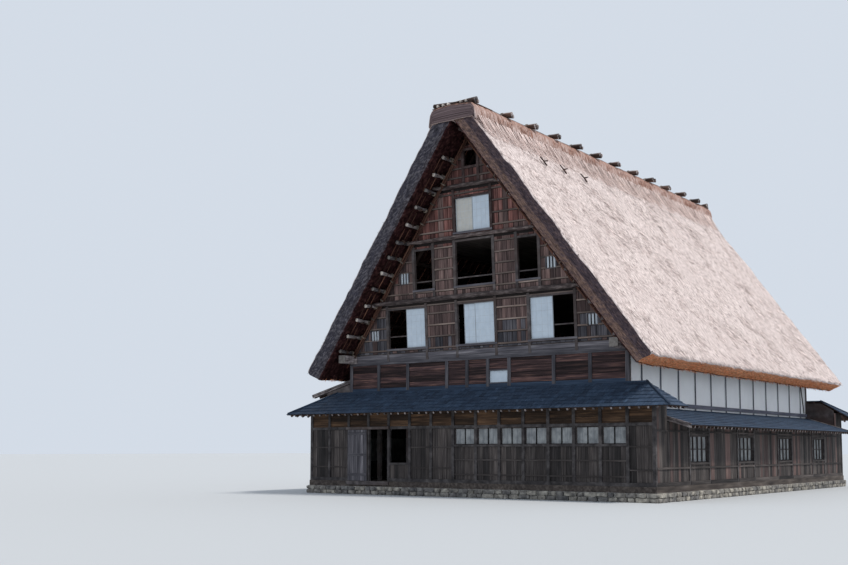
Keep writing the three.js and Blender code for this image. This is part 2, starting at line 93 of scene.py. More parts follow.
# Camera, where the photograph was taken
def add_camera():
    data = bpy.data.cameras.new("camera")
    data.sensor_width = 36.0
    focal_pixels = 1097.5
    photo_width = 848
    data.lens = focal_pixels * data.sensor_width / photo_width
    data.shift_y = 0.09
    camera = add_object("camera", data)
    camera.location = (22.18, -42.469, 1.664)
    camera.rotation_euler = (math.radians(90 + 4.76), 0, math.radians(36.536))
    bpy.context.scene.camera = camera


# Materials
class Paint:
    """A principled material and short calls for its nodes."""

    def __init__(self, name, roughness, grain=True, specular=0.25):
        self.material = bpy.data.materials.new(name)
        self.material.use_nodes = True
        self.tree = self.material.node_tree
        self.shader = self.tree.nodes["Principled BSDF"]
        self.shader.inputs["Roughness"].default_value = roughness
        self.shader.inputs["Specular IOR Level"].default_value = specular
        if grain:
            self.place = self.attribute("grain", "Vector")
        else:
            self.place = self.node("ShaderNodeTexCoord").outputs["Object"]

    def node(self, kind, **values):
        made = self.tree.nodes.new(kind)
        for key, value in values.items():
            setattr(made, key, value)
        return made

    def link(self, source, target):
        self.tree.links.new(source, target)

    def attribute(self, name, output):
        return self.node("ShaderNodeAttribute", attribute_name=name).outputs[output]

    def axis(self, letter):
        made = self.node("ShaderNodeSeparateXYZ")
        self.link(self.place, made.inputs[0])
        return made.outputs[letter]

    def noise(self, scale, stretch, detail, distortion=0.0):
        made = self.node("ShaderNodeTexNoise")
        made.inputs["Scale"].default_value = scale
        made.inputs["Detail"].default_value = detail
        made.inputs["Distortion"].default_value = distortion
        stretched = self.node("ShaderNodeMapping")
        stretched.inputs["Scale"].default_value = stretch
        self.link(self.place, stretched.inputs["Vector"])
        self.link(stretched.outputs["Vector"], made.inputs["Vector"])
        return made.outputs["Fac"]

    def ramp(self, source, stops):
        made = self.node("ShaderNodeValToRGB")
        elements = made.color_ramp.elements
        while len(elements) < len(stops):
            elements.new(0.5)
        for element, (at, colour) in zip(elements, stops):
            element.position = at
            element.color = (*colour, 1)
        self.link(source, made.inputs["Fac"])
        return made.outputs["Color"]

    def level(self, source, low, high, out_low=0.0, out_high=1.0):
        made = self.node("ShaderNodeMapRange")
        limits = {"From Min": low, "From Max": high, "To Min": out_low, "To Max": out_high}
        for name, value in limits.items():
            made.inputs[name].default_value = value
        self.link(source, made.inputs["Value"])
        return made.outputs["Result"]

    def math(self, operation, first, second):
        made = self.node("ShaderNodeMath", operation=operation)
        self.link(first, made.inputs[0])
        self.link(second, made.inputs[1])
        return made.outputs[0]

    def blend(self, factor, first, second, kind="MIX"):
        made = self.node("ShaderNodeMix", data_type="RGBA", blend_type=kind)
        for socket, value in ((made.inputs[0], factor), (made.inputs[6], first), (made.inputs[7], second)):
            if isinstance(value, bpy.types.NodeSocket):
                self.link(value, socket)
            elif isinstance(value, tuple):
                socket.default_value = (*value, 1)
            else:
                socket.default_value = value
        return made.outputs[2]

    def shaded(self, colour, source, stops, strength=1.0):
        """The colour times a ramp over the source."""
        return self.blend(strength, colour, self.ramp(source, stops), "MULTIPLY")

    def tinted(self, colour, low, high):
        """The colour times a shade that goes from low to high with the tint of each solid."""
        return self.shaded(colour, self.attribute("tint", "Fac"), [(0.0, low), (1.0, high)])

    def patched(self, colour, over, source, low, high, most=1.0):
        """The colour with another one over it where the source is high."""
        return self.blend(self.level(source, low, high, 0.0, most), colour, over)

    def finish(self, colour, *bumps):
        """The material with its colour, and with bumps that each have a source and a height."""
        self.link(colour, self.shader.inputs["Base Color"])
        surface = self.shader.inputs["Normal"]
        for source, distance in bumps:
            made = self.node("ShaderNodeBump")
            made.inputs["Distance"].default_value = distance
            self.link(source, made.inputs["Height"])
            if surface.is_linked:
                self.link(surface.links[0].from_socket, made.inputs["Normal"])
            self.link(made.outputs["Normal"], surface)
        return self.material


def wood(name, dark, middle, light, grain=True, along=(0.6, 14, 14), roughness=0.8, darkening=None):
    """Weathered wood. along is how the grain is stretched, in the piece's own place. darkening is the colour
    of worn patches.
    """
    paint = Paint(name, roughness, grain)
    fine = paint.noise(1.6, along, 4.0, 0.3)
    broad = paint.noise(0.9, (1, 1, 1), 2.0)
    colour = paint.ramp(fine, [(0.28, dark), (0.52, middle), (0.75, light)])
    colour = paint.shaded(colour, broad, [(0.35, (0.55, 0.55, 0.58)), (0.65, (1.0, 1.0, 1.0))], 0.75)
    if grain:
        colour = paint.tinted(colour, (0.36, 0.36, 0.37), (1.55, 1.48, 1.42))
    if darkening:
        colour = paint.patched(colour, darkening, paint.noise(1.3, (0.4, 1.5, 1), 3.0), 0.45, 0.68)
    return paint.finish(colour, (fine, 0.006))


def thatch_top(name, pale, middle, dark, old, fade):
    """Weathered thatch: strands down it, darker flecks, and older redder straw that fades out downwards."""
    paint = Paint(name, 1.0, specular=0.05)
    strands = paint.noise(3.2, (1.4, 4.5, 3), 6.0, 0.4)
    flecks = paint.noise(2.1, (1.6, 5, 2), 4.0, 0.6)
    patches = paint.noise(0.35, (0.8, 1, 1), 3.0, 0.5)
    specks = paint.noise(13, (0.8, 1, 1), 2.0)
    colour = paint.ramp(strands, [(0.34, dark), (0.46, middle), (0.60, pale)])
    colour = paint.patched(colour, dark, flecks, 0.58, 0.70, 0.75)
    colour = paint.patched(colour, middle, patches, 0.42, 0.66, 0.40)
    colour = paint.patched(colour, middle, specks, 0.48, 0.62, 0.55)
    near_ridge = paint.level(paint.axis("X"), *fade, 0.0)
    broken = paint.level(paint.noise(1.4, (1.0, 4, 1), 3.0), 0.25, 0.7, 0.45, 1.3)
    colour = paint.blend(paint.math("MULTIPLY", near_ridge, broken), colour, old)
    colour = paint.tinted(colour, (0.55, 0.53, 0.53), (1.42, 1.42, 1.42))
    return paint.finish(colour, (strands, 0.05), (flecks, 0.04))


def thatch_cut(name, outer, inner, flecked, change):
    """Cut reed ends: one colour in the outer reed and another below the depth given as change."""
    paint = Paint(name, 1.0, specular=0.05)
    wander = paint.level(paint.noise(1.5, (1, 1, 1), 3.0), 0, 1, -0.06, 0.06)
    depth = paint.math("ADD", paint.axis("Z"), wander)
    colour = paint.ramp(depth, [(change, outer), (change + 0.05, inner)])
    specks = paint.noise(9, (1, 1, 1), 4.0)
    colour = paint.patched(colour, flecked, specks, 0.46, 0.62, 0.95)
    layers = paint.noise(5, (1, 1, 9), 3.0, 0.3)
    colour = paint.shaded(colour, layers, [(0.35, (0.45, 0.45, 0.45)), (0.62, (1.28, 1.28, 1.28))])
    return paint.finish(colour, (specks, 0.05), (layers, 0.04))


def plaster(name):
    paint = Paint(name, 0.9, grain=False)
    mottle = paint.noise(1.2, (1, 1, 1), 4.0)
    broad = paint.noise(0.7, (1, 1, 1), 3.0)
    colour = paint.ramp(mottle, [(0.3, (0.84, 0.85, 0.87)), (0.7, (0.91, 0.92, 0.93))])
    colour = paint.shaded(colour, broad, [(0.3, (0.92, 0.92, 0.92)), (0.6, (1, 1, 1))], 0.8)
    return paint.finish(colour, (paint.noise(40, (1, 1, 1), 2.0), 0.002))


def paper(name, low, high, grain=False):
    paint = Paint(name, 0.75, grain)
    colour = paint.ramp(paint.noise(6, (1, 1, 0.6), 3.0), [(0.3, low), (0.7, high)])
    return paint.finish(colour, (paint.noise(60, (1, 1, 1), 2.0), 0.001))


def stone(name, grain):
    paint = Paint(name, 0.92, grain)
    mottle = paint.noise(5, (1, 1, 1), 5.0)
    greys = [(0.3, (0.09, 0.09, 0.09)), (0.5, (0.22, 0.21, 0.2)), (0.7, (0.4, 0.39, 0.36))]
    colour = paint.ramp(mottle, greys)
    if grain:
        colour = paint.tinted(colour, (0.6, 0.6, 0.62), (1.25, 1.2, 1.1))
    return paint.finish(colour, (mottle, 0.03))


RED_BOARD = wood("red_boards", (0.085, 0.037, 0.032), (0.21, 0.092, 0.080), (0.38, 0.205, 0.18))
BROWN_BOARD = wood("brown_boards", (0.080, 0.053, 0.049), (0.19, 0.125, 0.115), (0.33, 0.24, 0.215))
GREY_BOARD = wood("grey_boards", (0.060, 0.060, 0.072), (0.125, 0.122, 0.140), (0.25, 0.245, 0.265))
GROUND_BOARD = wood("ground_boards", (0.030, 0.026, 0.025), (0.066, 0.058, 0.056), (0.145, 0.13, 0.125))
# Near-black sheets: painted shade in the gaps between boards and under the girts.
PAINTED_SHADE = wood("painted_shade_sheets", (0.012, 0.009, 0.009), (0.020, 0.015, 0.014), (0.032, 0.024, 0.022))
LOW_BOARD = wood("mezzanine_boards", (0.022, 0.012, 0.013), (0.066, 0.039, 0.040), (0.20, 0.11, 0.090),
                 along=(0.7, 12, 12))
FRIEZE_BOARD = wood("frieze_boards", (0.028, 0.016, 0.009), (0.085, 0.049, 0.028), (0.20, 0.12, 0.068),
                    along=(0.7, 12, 12))
BATTEN = wood("pale_battens", (0.15, 0.115, 0.100), (0.29, 0.225, 0.195), (0.44, 0.365, 0.325))
DARK_FRAME = wood("dark_frames", (0.03, 0.026, 0.026), (0.07, 0.06, 0.06), (0.13, 0.115, 0.11))
SOLID = {"grain": False, "along": (3, 3, 3)}
GREY_FRAME = wood("grey_frame", (0.055, 0.047, 0.047), (0.115, 0.10, 0.098), (0.20, 0.175, 0.17),
                  darkening=(0.07, 0.05, 0.045), **SOLID)
GROUND_FRAME = wood("ground_frame", (0.028, 0.025, 0.025), (0.070, 0.063, 0.063), (0.135, 0.122, 0.120),
                    **SOLID)
BROWN_FRAME = wood("brown_frame", (0.030, 0.020, 0.019), (0.068, 0.045, 0.042), (0.13, 0.092, 0.088),
                   **SOLID)
FLOOR_WOOD = wood("floor_planks", (0.040, 0.032, 0.028), (0.090, 0.073, 0.063), (0.16, 0.135, 0.12),
                  grain=False, along=(6, 0.6, 6))
BARK = wood("bark_logs", (0.030, 0.022, 0.022), (0.092, 0.074, 0.072), (0.24, 0.205, 0.195),
            along=(2.5, 9, 9))
BLUE_BEAM = wood("weathered_beam", (0.07, 0.075, 0.10), (0.12, 0.13, 0.17), (0.19, 0.20, 0.25))
LOG = wood("dark_logs", (0.030, 0.020, 0.017), (0.085, 0.052, 0.042), (0.17, 0.115, 0.095))
RED_POLE = wood("red_poles", (0.045, 0.020, 0.014), (0.17, 0.075, 0.050), (0.36, 0.19, 0.13))
PALE_LOG = wood("pale_logs", (0.060, 0.050, 0.052), (0.24, 0.215, 0.215), (0.58, 0.55, 0.55),
                along=(3, 9, 9))
CUT_END = wood("cut_ends", (0.36, 0.32, 0.28), (0.56, 0.52, 0.47), (0.72, 0.68, 0.62), along=(6, 6, 6))
SHINGLE = wood("shingles", (0.018, 0.036, 0.070), (0.036, 0.064, 0.112), (0.062, 0.096, 0.155),
               roughness=0.75)
ROPE = wood("straw_rope", (0.09, 0.07, 0.058), (0.19, 0.16, 0.13), (0.35, 0.31, 0.26), along=(20, 3, 3))
SASH_BAR = wood("sash_bars", (0.36, 0.41, 0.46), (0.44, 0.50, 0.55), (0.50, 0.56, 0.62), roughness=0.7)
SLOPE_THATCH = thatch_top("slope_thatch", (0.78, 0.69, 0.66), (0.56, 0.48, 0.46), (0.22, 0.175, 0.165),
                          (0.42, 0.29, 0.25), (0.1, 0.8, 0.5))
RIDGE_THATCH = thatch_top("ridge_thatch", (0.74, 0.63, 0.59), (0.52, 0.41, 0.38), (0.20, 0.145, 0.13),
                          (0.30, 0.165, 0.125), (0.35, 0.95, 0.95))
CUT_THATCH, EAVE_THATCH, UNDER_THATCH, RIGHT_VERGE, LEFT_VERGE = (
    thatch_cut(*look) for look in (
        ("cut_thatch", (0.155, 0.112, 0.115), (0.155, 0.112, 0.115), (0.23, 0.17, 0.17), 0.52),
        # Eave cut ends: orange reed, with the colour raised above the reed's own to stand in for light on
        # this shaded face, as painted light.
        ("eave_thatch", (0.78, 0.31, 0.15), (0.68, 0.25, 0.115), (0.80, 0.42, 0.24), 0.40),
        # Soffit reed, darkened below the reed's own colour as painted shade under the overhang.
        ("under_thatch", (0.040, 0.015, 0.015), (0.030, 0.011, 0.012), (0.070, 0.030, 0.027), 0.40),
        ("right_verge_thatch", (0.088, 0.066, 0.076), (0.24, 0.155, 0.125), (0.145, 0.10, 0.10), 0.36),
        ("left_verge_thatch", (0.066, 0.062, 0.078), (0.066, 0.056, 0.064), (0.155, 0.143, 0.158), 0.52),
    )
)
PLASTER = plaster("plaster")
PAPER = paper("shoji_paper", (0.52, 0.60, 0.68), (0.60, 0.68, 0.76))
PANE = paper("window_panes", (0.16, 0.17, 0.18), (0.36, 0.375, 0.38))
CREAM_PAPER = paper("cream_paper", (0.52, 0.51, 0.47), (0.60, 0.59, 0.55), grain=True)
STONE = stone("footing_stone", grain=False)
STONES = stone("field_stones", grain=True)


# Meshes
class Pile:
    """Closed solids that become one mesh. Each point also keeps its place in its own solid, as grain."""

    def __init__(self, seed):
        self.random = np.random.default_rng(seed)
        self.points = []
        self.grain = []
        self.tint = []
        self.faces = []
        self.paint = []
        self.smooth = []
        self.count = 0

    def add(self, points, faces, grain, tint=None, paint=None, smooth=False):
        """paint is a material, a list with one for each face, or None for the piece's first one."""
        points = np.asarray(points, float)
        if tint is None:
            tint = self.random.uniform(0, 1)
        self.points.append(points)
        self.grain.append(np.asarray(grain, float))
        self.tint.append(np.broadcast_to(np.asarray(tint, float), (len(points),)))
        self.faces.extend([[i + self.count for i in face] for face in faces])
        self.paint.extend(paint if isinstance(paint, list) else [paint] * len(faces))
        self.smooth.extend([smooth] * len(faces))
        self.count += len(points)

    def offset(self):
        return self.random.uniform(0, 40, 3)

    def finish(self, name, paints, slot, body=HOUSE, replaced=()):
        data = bpy.data.meshes.new(name)
        data.from_pydata(np.concatenate(self.points).tolist(), [], self.faces)
        for material in paints:
            data.materials.append(material)
        index = {None: 0, **{material: i for i, material in enumerate(paints)}}
        data.polygons.foreach_set("material_index", [index[paint] for paint in self.paint])
        data.polygons.foreach_set("use_smooth", self.smooth)
        grain = data.attributes.new("grain", "FLOAT_VECTOR", "POINT")
        grain.data.foreach_set("vector", np.concatenate(self.grain).astype(np.float32).ravel())
        tint = data.attributes.new("tint", "FLOAT", "POINT")
        tint.data.foreach_set("value", np.concatenate(self.tint).astype(np.float32))
        piece = add_object(name, data)
        if replaced:
            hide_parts(*replaced)
        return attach(piece, body)


def unit(vector):
    return vector / np.linalg.norm(vector)


def units(rows):
    return rows / np.linalg.norm(rows, axis=1)[:, None]


def triples(*parts):
    """Rows of three values from arrays and numbers."""
    return np.stack(np.broadcast_arrays(*parts), 1)


def slab(pile, loop, depth, tint=None, paint=None):
    """A solid between a flat loop and its copy moved by depth."""
    front = np.asarray(loop, float)
    rear = front + depth
    inward = rear.mean(0) - front.mean(0)
    turned = np.cross(front, np.roll(front, -1, 0)).sum(0)
    if turned @ inward > 0:
        front = front[::-1]
        rear = rear[::-1]
    n = len(front)
    edges = np.roll(front, -1, 0) - front
    along = unit(edges[np.argmax(np.linalg.norm(edges, axis=1))])
    across = np.cross(unit(inward), along)
    points = np.concatenate([front, rear])
    local = points - front[0]
    grain = triples(local @ along, local @ across, local @ unit(inward)) + pile.offset()
    faces = [list(range(n)), list(range(2 * n - 1, n - 1, -1))]
    faces += [[(i + 1) % n, i, i + n, (i + 1) % n + n] for i in range(n)]
    pile.add(points, faces, grain, tint, paint)


def rod(pile, path, radius, sides=8, paint=None, cap=None):
    """A round pole along a path. radius is one number or one for each point of the path."""
    path = np.asarray(path, float)
    n = len(path)
    radii = np.broadcast_to(np.asarray(radius, float), (n,))
    run = units(np.gradient(path, axis=0))
    reference = np.array((0, 0, 1.0)) if abs(run[0][2]) < 0.8 else np.array((0, 1.0, 0))
    side = units(np.cross(run, reference))
    up = np.cross(side, run)
    turn = 2 * np.pi * (np.arange(sides) + 0.5) / sides
    across = np.cos(turn)
    above = np.sin(turn)
    ring = side[:, None] * across[:, None] + up[:, None] * above[:, None]
    points = (path[:, None] + ring * radii[:, None, None]).reshape(-1, 3)
    travelled = np.concatenate([[0], np.cumsum(np.linalg.norm(np.diff(path, axis=0), axis=1))])
    grain = triples(
        np.repeat(travelled, sides), np.outer(radii, across).ravel(), np.outer(radii, above).ravel()
    ) + pile.offset()
    faces = []
    for i in range(0, (n - 1) * sides, sides):
        for j in range(sides):
            k = (j + 1) % sides
            faces.append([i + j, i + sides + j, i + sides + k, i + k])
    paints = [paint] * len(faces)
    faces += [list(range(sides)), [(n - 1) * sides + j for j in range(sides - 1, -1, -1)]]
    paints += [cap or paint] * 2
    pile.add(points, faces, grain, None, paints, smooth=True)


def lashing(pile, centre, axis, radius, thick, turns, paint):
    """Turns of rope round a pole."""
    centre = np.asarray(centre, float)
    axis = unit(np.asarray(axis, float))
    reference = np.array((0, 0, 1.0)) if abs(axis[2]) < 0.8 else np.array((1.0, 0, 0))
    side = unit(np.cross(axis, reference))
    up = np.cross(axis, side)
    around_pole = 2 * np.pi * np.arange(8) / 8
    section = 2 * np.pi * np.arange(4) / 4
    outward = side * np.cos(around_pole)[:, None] + up * np.sin(around_pole)[:, None]
    across = outward[:, None] * (radius + thick * np.cos(section))[:, None]
    rise = axis * (thick * np.sin(section))[:, None]
    faces = []
    for i in range(8):
        for j in range(4):
            k = (j + 1) % 4
            far = (i + 1) % 8 * 4
            faces.append([i * 4 + j, i * 4 + k, far + k, far + j])
    for turn in range(turns):
        middle = centre + axis * thick * 2 * (turn - (turns - 1) / 2)
        points = (middle + across + rise).reshape(-1, 3)
        pile.add(points, faces, points - centre + pile.offset(), None, paint, smooth=True)


def skin(cells):
    """The closed surface of a grid of cells: its points, its quads, and the side that each quad is on."""
    numbers = [np.arange(n + 1) for n in cells]
    grid = np.stack(np.meshgrid(*numbers, indexing="ij"), -1)
    edge = ((grid == 0) | (grid == np.array(cells))).any(-1)
    index = np.full(edge.shape, -1)
    index[edge] = np.arange(edge.sum())
    faces = []
    sides = []
    for axis in range(3):
        for end in (0, 1):
            sheet = np.moveaxis(index, axis, 0)[-end]
            quads = np.stack([sheet[:-1, :-1], sheet[1:, :-1], sheet[1:, 1:], sheet[:-1, 1:]], -1)
            quads = quads.reshape(-1, 4)
            if (end == 1) == (axis == 1):
                quads = quads[:, ::-1]
            faces += quads.tolist()
            sides += [2 * axis + end] * len(quads)
    return grid[edge], faces, sides


def waves(points, size, seed, count=14):
    """Smooth random lumps of about the given size, from -1 to 1."""
    random = np.random.default_rng(seed)
    directions = units(random.normal(size=(count, 3)))
    pace = 2 * np.pi / (size * random.uniform(0.7, 1.6, count))
    phases = random.uniform(0, 2 * np.pi, count)
    total = np.sin((points @ directions.T) * pace + phases).sum(1)
    return total / math.sqrt(count)


def straws(pile, roots, tips, width, grain, tint, paint=None):
    """Thin closed spikes from roots to tips."""
    run = tips - roots
    side = units(np.cross(run, np.array((0.13, 0.21, 0.97))))
    lift = units(np.cross(side, run))
    width = width[:, None]
    points = np.stack([roots + side * width, roots - side * width, roots + lift * width, tips], 1)
    base = 4 * np.arange(len(roots))[:, None, None]
    faces = (base + np.array([[0, 2, 1], [0, 1, 3], [1, 2, 3], [2, 0, 3]])).reshape(-1, 3)
    pile.add(points.reshape(-1, 3), faces.tolist(), np.repeat(grain, 4, 0), np.repeat(tint, 4), paint)


def clip(polygon, a, b, c):
    """The part of an (x, z) polygon where a*x + b*z <= c."""
    kept = []
    for i, here in enumerate(polygon):
        there = polygon[(i + 1) % len(polygon)]
        over = a * here[0] + b * here[1] - c
        over_there = a * there[0] + b * there[1] - c
        if over <= 0:
            kept.append(here)
        if (over < 0 < over_there) or (over_there < 0 < over):
            share = over / (over - over_there)
            kept.append((here[0] + share * (there[0] - here[0]), here[1] + share * (there[1] - here[1])))
    return kept


def area(polygon):
    return 0.5 * abs(sum(
        p[0] * q[1] - q[0] * p[1] for p, q in zip(polygon, polygon[1:] + polygon[:1])
    ))


def around(polygon, holes):
    """The parts of a polygon outside holes that are each given as x0, x1, z0, z1."""
    parts = [polygon]
    for x0, x1, z0, z1 in holes:
        cut = []
        for part in parts:
            middle = clip(clip(part, -1, 0, -x0), 1, 0, x1)
            cut += [clip(part, 1, 0, x0), clip(part, -1, 0, -x1)]
            cut += [clip(middle, 0, 1, z0), clip(middle, 0, -1, -z1)]
        parts = [part for part in cut if len(part) > 2 and area(part) > 2e-4]
    return parts


def band(polygon, low, high):
    """The part of a polygon between two heights."""
    return clip(clip(polygon, 0, 1, high), 0, -1, -low)


def rectangle(x0, x1, z0, z1):
    return [(x0, z0), (x1, z0), (x1, z1), (x0, z1)]


def cuts(low, high, step, random, jitter=0.2):
    """Edges of boards of about the given width that fill low to high."""
    n = max(1, round((high - low) / step))
    edges = np.linspace(low, high, n + 1)
    edges[1:-1] += random.uniform(-jitter, jitter, n - 1) * (high - low) / n
    return list(zip(edges[:-1], edges[1:]))


def within(polygon, x0, x1, z0, z1):
    """The part of a polygon inside a rectangle."""
    return clip(clip(clip(clip(polygon, -1, 0, -x0), 1, 0, x1), 0, -1, -z0), 0, 1, z1)


# Walls
def facade(turn, distance, leaning=False):
    """at(x, out, z) for one side: x to the right seen from outside, out from the wall's plane."""
    quarter = turn * math.pi / 2
    right = np.array((round(math.cos(quarter)), round(math.sin(quarter)), 0.0))
    normal = np.array((right[1], -right[0], 0.0))

    def at(x, out, z):
        if leaning:
            rise = z - LEAN_FROM
            z = LEAN_FROM - out * math.sin(LEAN) + rise * math.cos(LEAN)
            out = out * math.cos(LEAN) + rise * math.sin(LEAN)
        return right * x + normal * (distance + out) + np.array((0, 0, z))

    return at


ENDS = {"front": 0, "rear": 2}
SIDES = {"right": 1, "left": 3}


class Wall(Pile):
    """Solids in front of a wall's plane, each from outs[0] to outs[1]."""

    def __init__(self, seed, turn, distance, leaning=False):
        super().__init__(seed + turn)
        self.at = facade(turn, distance, leaning)

    def panel(self, corners, outs, tint=None, paint=None):
        """A flat board with (x, z) corners."""
        front = [self.at(x, outs[1], z) for x, z in corners]
        x, z = corners[0]
        slab(self, front, self.at(x, outs[0], z) - self.at(x, outs[1], z), tint, paint)

    def bar(self, x0, x1, z0, z1, outs, tint=None, paint=None):
        self.panel(rectangle(x0, x1, z0, z1), outs, tint, paint)

    def frame(self, x0, x1, z0, z1, width, outs, tint, paint=None):
        """Four bars around an opening."""
        for x in (x0 - width, x1):
            self.bar(x, x + width, z0 - width, z1 + width, outs, tint, paint)
        for z in (z0 - width, z1):
            self.bar(x0, x1, z, z + width, outs, tint, paint)


def slope_axes(side):
    """Directions out of a roof slope and down it."""
    return np.array((side * SIN, 0, COS)), np.array((side * COS, 0, -SIN))


def slope_x(z, depth):
    """Distance from the middle, at height z, of the line at a depth under the thatch's outer face."""
    return (APEX - z) / PITCH - depth / SIN


def verge_y(z):
    """Distance of the thatch's cut verge from the middle, which grows with its height."""
    return GABLE_Y + 1.1 + 0.06 * (z - LEAN_FROM)


# Thatch
def rounding(distance, radius):
    """How far a surface drops at a distance from a rounded edge."""
    inside = np.clip(radius - distance, 0, radius)
    return radius - np.sqrt(np.maximum(radius**2 - inside**2, 0))


SHOWN_THATCH = 0.70
THATCH_CELLS = 78
THATCH_BAYS = 140


def edge_spaced(cells, both):
    """Grid positions from 0 to 1 with a few extra lines close to the rounded edges."""
    near = np.array((0.001, 0.0025, 0.005, 0.009))
    lines = [np.linspace(0, 1, cells + 1), 1 - near]
    if both:
        lines.append(near)
    return np.unique(np.concatenate(lines))


def eave_point(depth):
    """Distance from the middle, and height, of the eave's cut face at a depth under the outer face."""
    x = EAVE_X - (EAVE_X - EAVE_INNER_X) * depth / THATCH
    return x, APEX - PITCH * (x + depth / SIN)


def thatch_slope(side):
    name = "right_thatch" if side > 0 else "left_thatch"
    downs = edge_spaced(THATCH_CELLS, False)
    alongs = edge_spaced(THATCH_BAYS, True) * 2 - 1
    depths = np.array((0, 0.12, 0.3, 0.5, 0.7, 0.88, 1.0))
    grid, faces, sides = skin((len(downs) - 1, len(alongs) - 1, len(depths) - 1))
    down = downs[grid[:, 0]]
    along = alongs[grid[:, 1]]
    share = depths[grid[:, 2]]

    depth = share * SHOWN_THATCH
    z = RIDGE_Z + (eave_point(depth)[1] - RIDGE_Z) * down
    x = np.maximum(slope_x(z, depth), 0.0005)
    y = along * verge_y(z)
    place = triples(side * x, y, z)
    length = (RIDGE_Z - EAVE_Z) / SIN

    normal, downward = slope_axes(side)
    from_eave = (1 - down) * length
    from_verge = (1 - np.abs(along)) * verge_y(z)
    drop = rounding(from_eave, 0.10) + rounding(from_verge, 0.045)
    rise = rounding(from_eave, 0.08) + rounding(from_verge, 0.05)
    lumps = 0.022 * waves(place, 1.5, 11) + 0.012 * waves(place, 0.45, 12)
    place += normal * ((lumps - drop - 0.01) * (1 - share) + rise * share)[:, None]
    wavy = 0.030 * waves(place, 1.3, 13) + 0.014 * waves(place, 0.35, 14) - 0.03
    place += downward * (wavy * np.clip(1 - from_eave / 0.8, 0, 1))[:, None]
    ragged = 0.016 * waves(place, 0.30, 15) - 0.02
    place[:, 1] += np.sign(y) * ragged * np.clip(1 - from_verge / 0.3, 0, 1)

    travelled = (RIDGE_Z - z) / SIN
    grain = triples(travelled, y, depth)
    verge = RIGHT_VERGE if side > 0 else LEFT_VERGE
    cut = {1: EAVE_THATCH, 2: verge, 3: verge, 5: UNDER_THATCH}
    if side > 0:
        faces = [face[::-1] for face in faces]
    pile = Pile(20 + side)
    pile.add(place, faces, grain, 0.5, [cut.get(s) for s in sides], smooth=True)
    slope_straws(pile, side, normal, downward, length)
    eave_straws(pile, side, normal, downward)
    verge_straws(pile, side, verge)
    paints = [SLOPE_THATCH, verge, EAVE_THATCH, UNDER_THATCH]
    return pile.finish(name + "_reed", paints, "thatch", replaced=[name])


def slope_straws(pile, side, normal, downward, length, count=23000):
    """Reed tips that stand out of the slope."""
    random = pile.random
    travelled = random.uniform(0.1, length - 0.1, count)
    z = RIDGE_Z - travelled * SIN
    y = random.uniform(-1, 1, count) * (verge_y(z) - 0.12)
    roots = triples(side * slope_x(z, 0), y, z) - normal * 0.05
    reach = random.uniform(0.14, 0.34, count)[:, None]
    lift = random.uniform(0.045, 0.085, count)[:, None]
    sway = random.normal(0, 0.03, count)[:, None] * np.array((0, 1, 0))
    tips = roots + downward * reach + normal * lift + sway
    grain = triples(travelled, y, 0)
    straws(pile, roots, tips, random.uniform(0.012, 0.026, count), grain, random.uniform(0.1, 1, count))


def eave_straws(pile, side, normal, downward, count=6000):
    """Reed ends along the lower edge and over its cut face."""
    random = pile.random
    share = random.uniform(0, 1, count) ** 1.3
    depth = share * SHOWN_THATCH
    x, z = eave_point(depth)
    y = random.uniform(-1, 1, count) * (verge_y(z) - 0.15)
    roots = triples(side * x, y, z) - downward * 0.14 - normal * 0.03
    reach = random.uniform(0.10, 0.17, count)[:, None]
    tips = roots + downward * reach + random.normal(0, 0.012, (count, 3))
    grain = triples(12.0, y, depth)
    width = random.uniform(0.010, 0.02, count)
    tint = random.uniform(0, 0.9, count)
    for part, paint in ((share < 0.22, SLOPE_THATCH), (share >= 0.22, EAVE_THATCH)):
        straws(pile, roots[part], tips[part], width[part], grain[part], tint[part], paint)


def verge_straws(pile, side, paint, count=9000):
    """Reed ends over the cut faces at both gables."""
    random = pile.random
    depth = random.uniform(0.03, SHOWN_THATCH - 0.03, count)
    z = RIDGE_Z - random.uniform(0, 1, count) * (RIDGE_Z - EAVE_Z)
    end = random.choice((-1, 1), count)
    x = slope_x(z, depth)
    roots = triples(side * x, end * (verge_y(z) - 0.08), z)
    reach = random.uniform(0.05, 0.10, count)
    sideways = side * random.uniform(-0.05, 0.06, count)
    tips = roots + triples(sideways, end * reach, random.uniform(-0.09, 0.02, count))
    keep = x > 0.05
    grain = triples((RIDGE_Z - z) / SIN, end * GABLE_Y, depth)
    straws(pile, roots[keep], tips[keep], random.uniform(0.01, 0.02, count)[keep], grain[keep],
           random.uniform(0, 1, count)[keep], paint)


# Ridge
CAP_FOOT = (1.052, 13.42)
CAP_TOP = 14.088
CAP_PROFILE = ((1.02, 13.372), CAP_FOOT, (1.035, 13.60), (0.99, 13.82), (0.895, 13.975), (0.60, 14.045))
CAP_BAYS = 150
CAP_LAYERS = 3


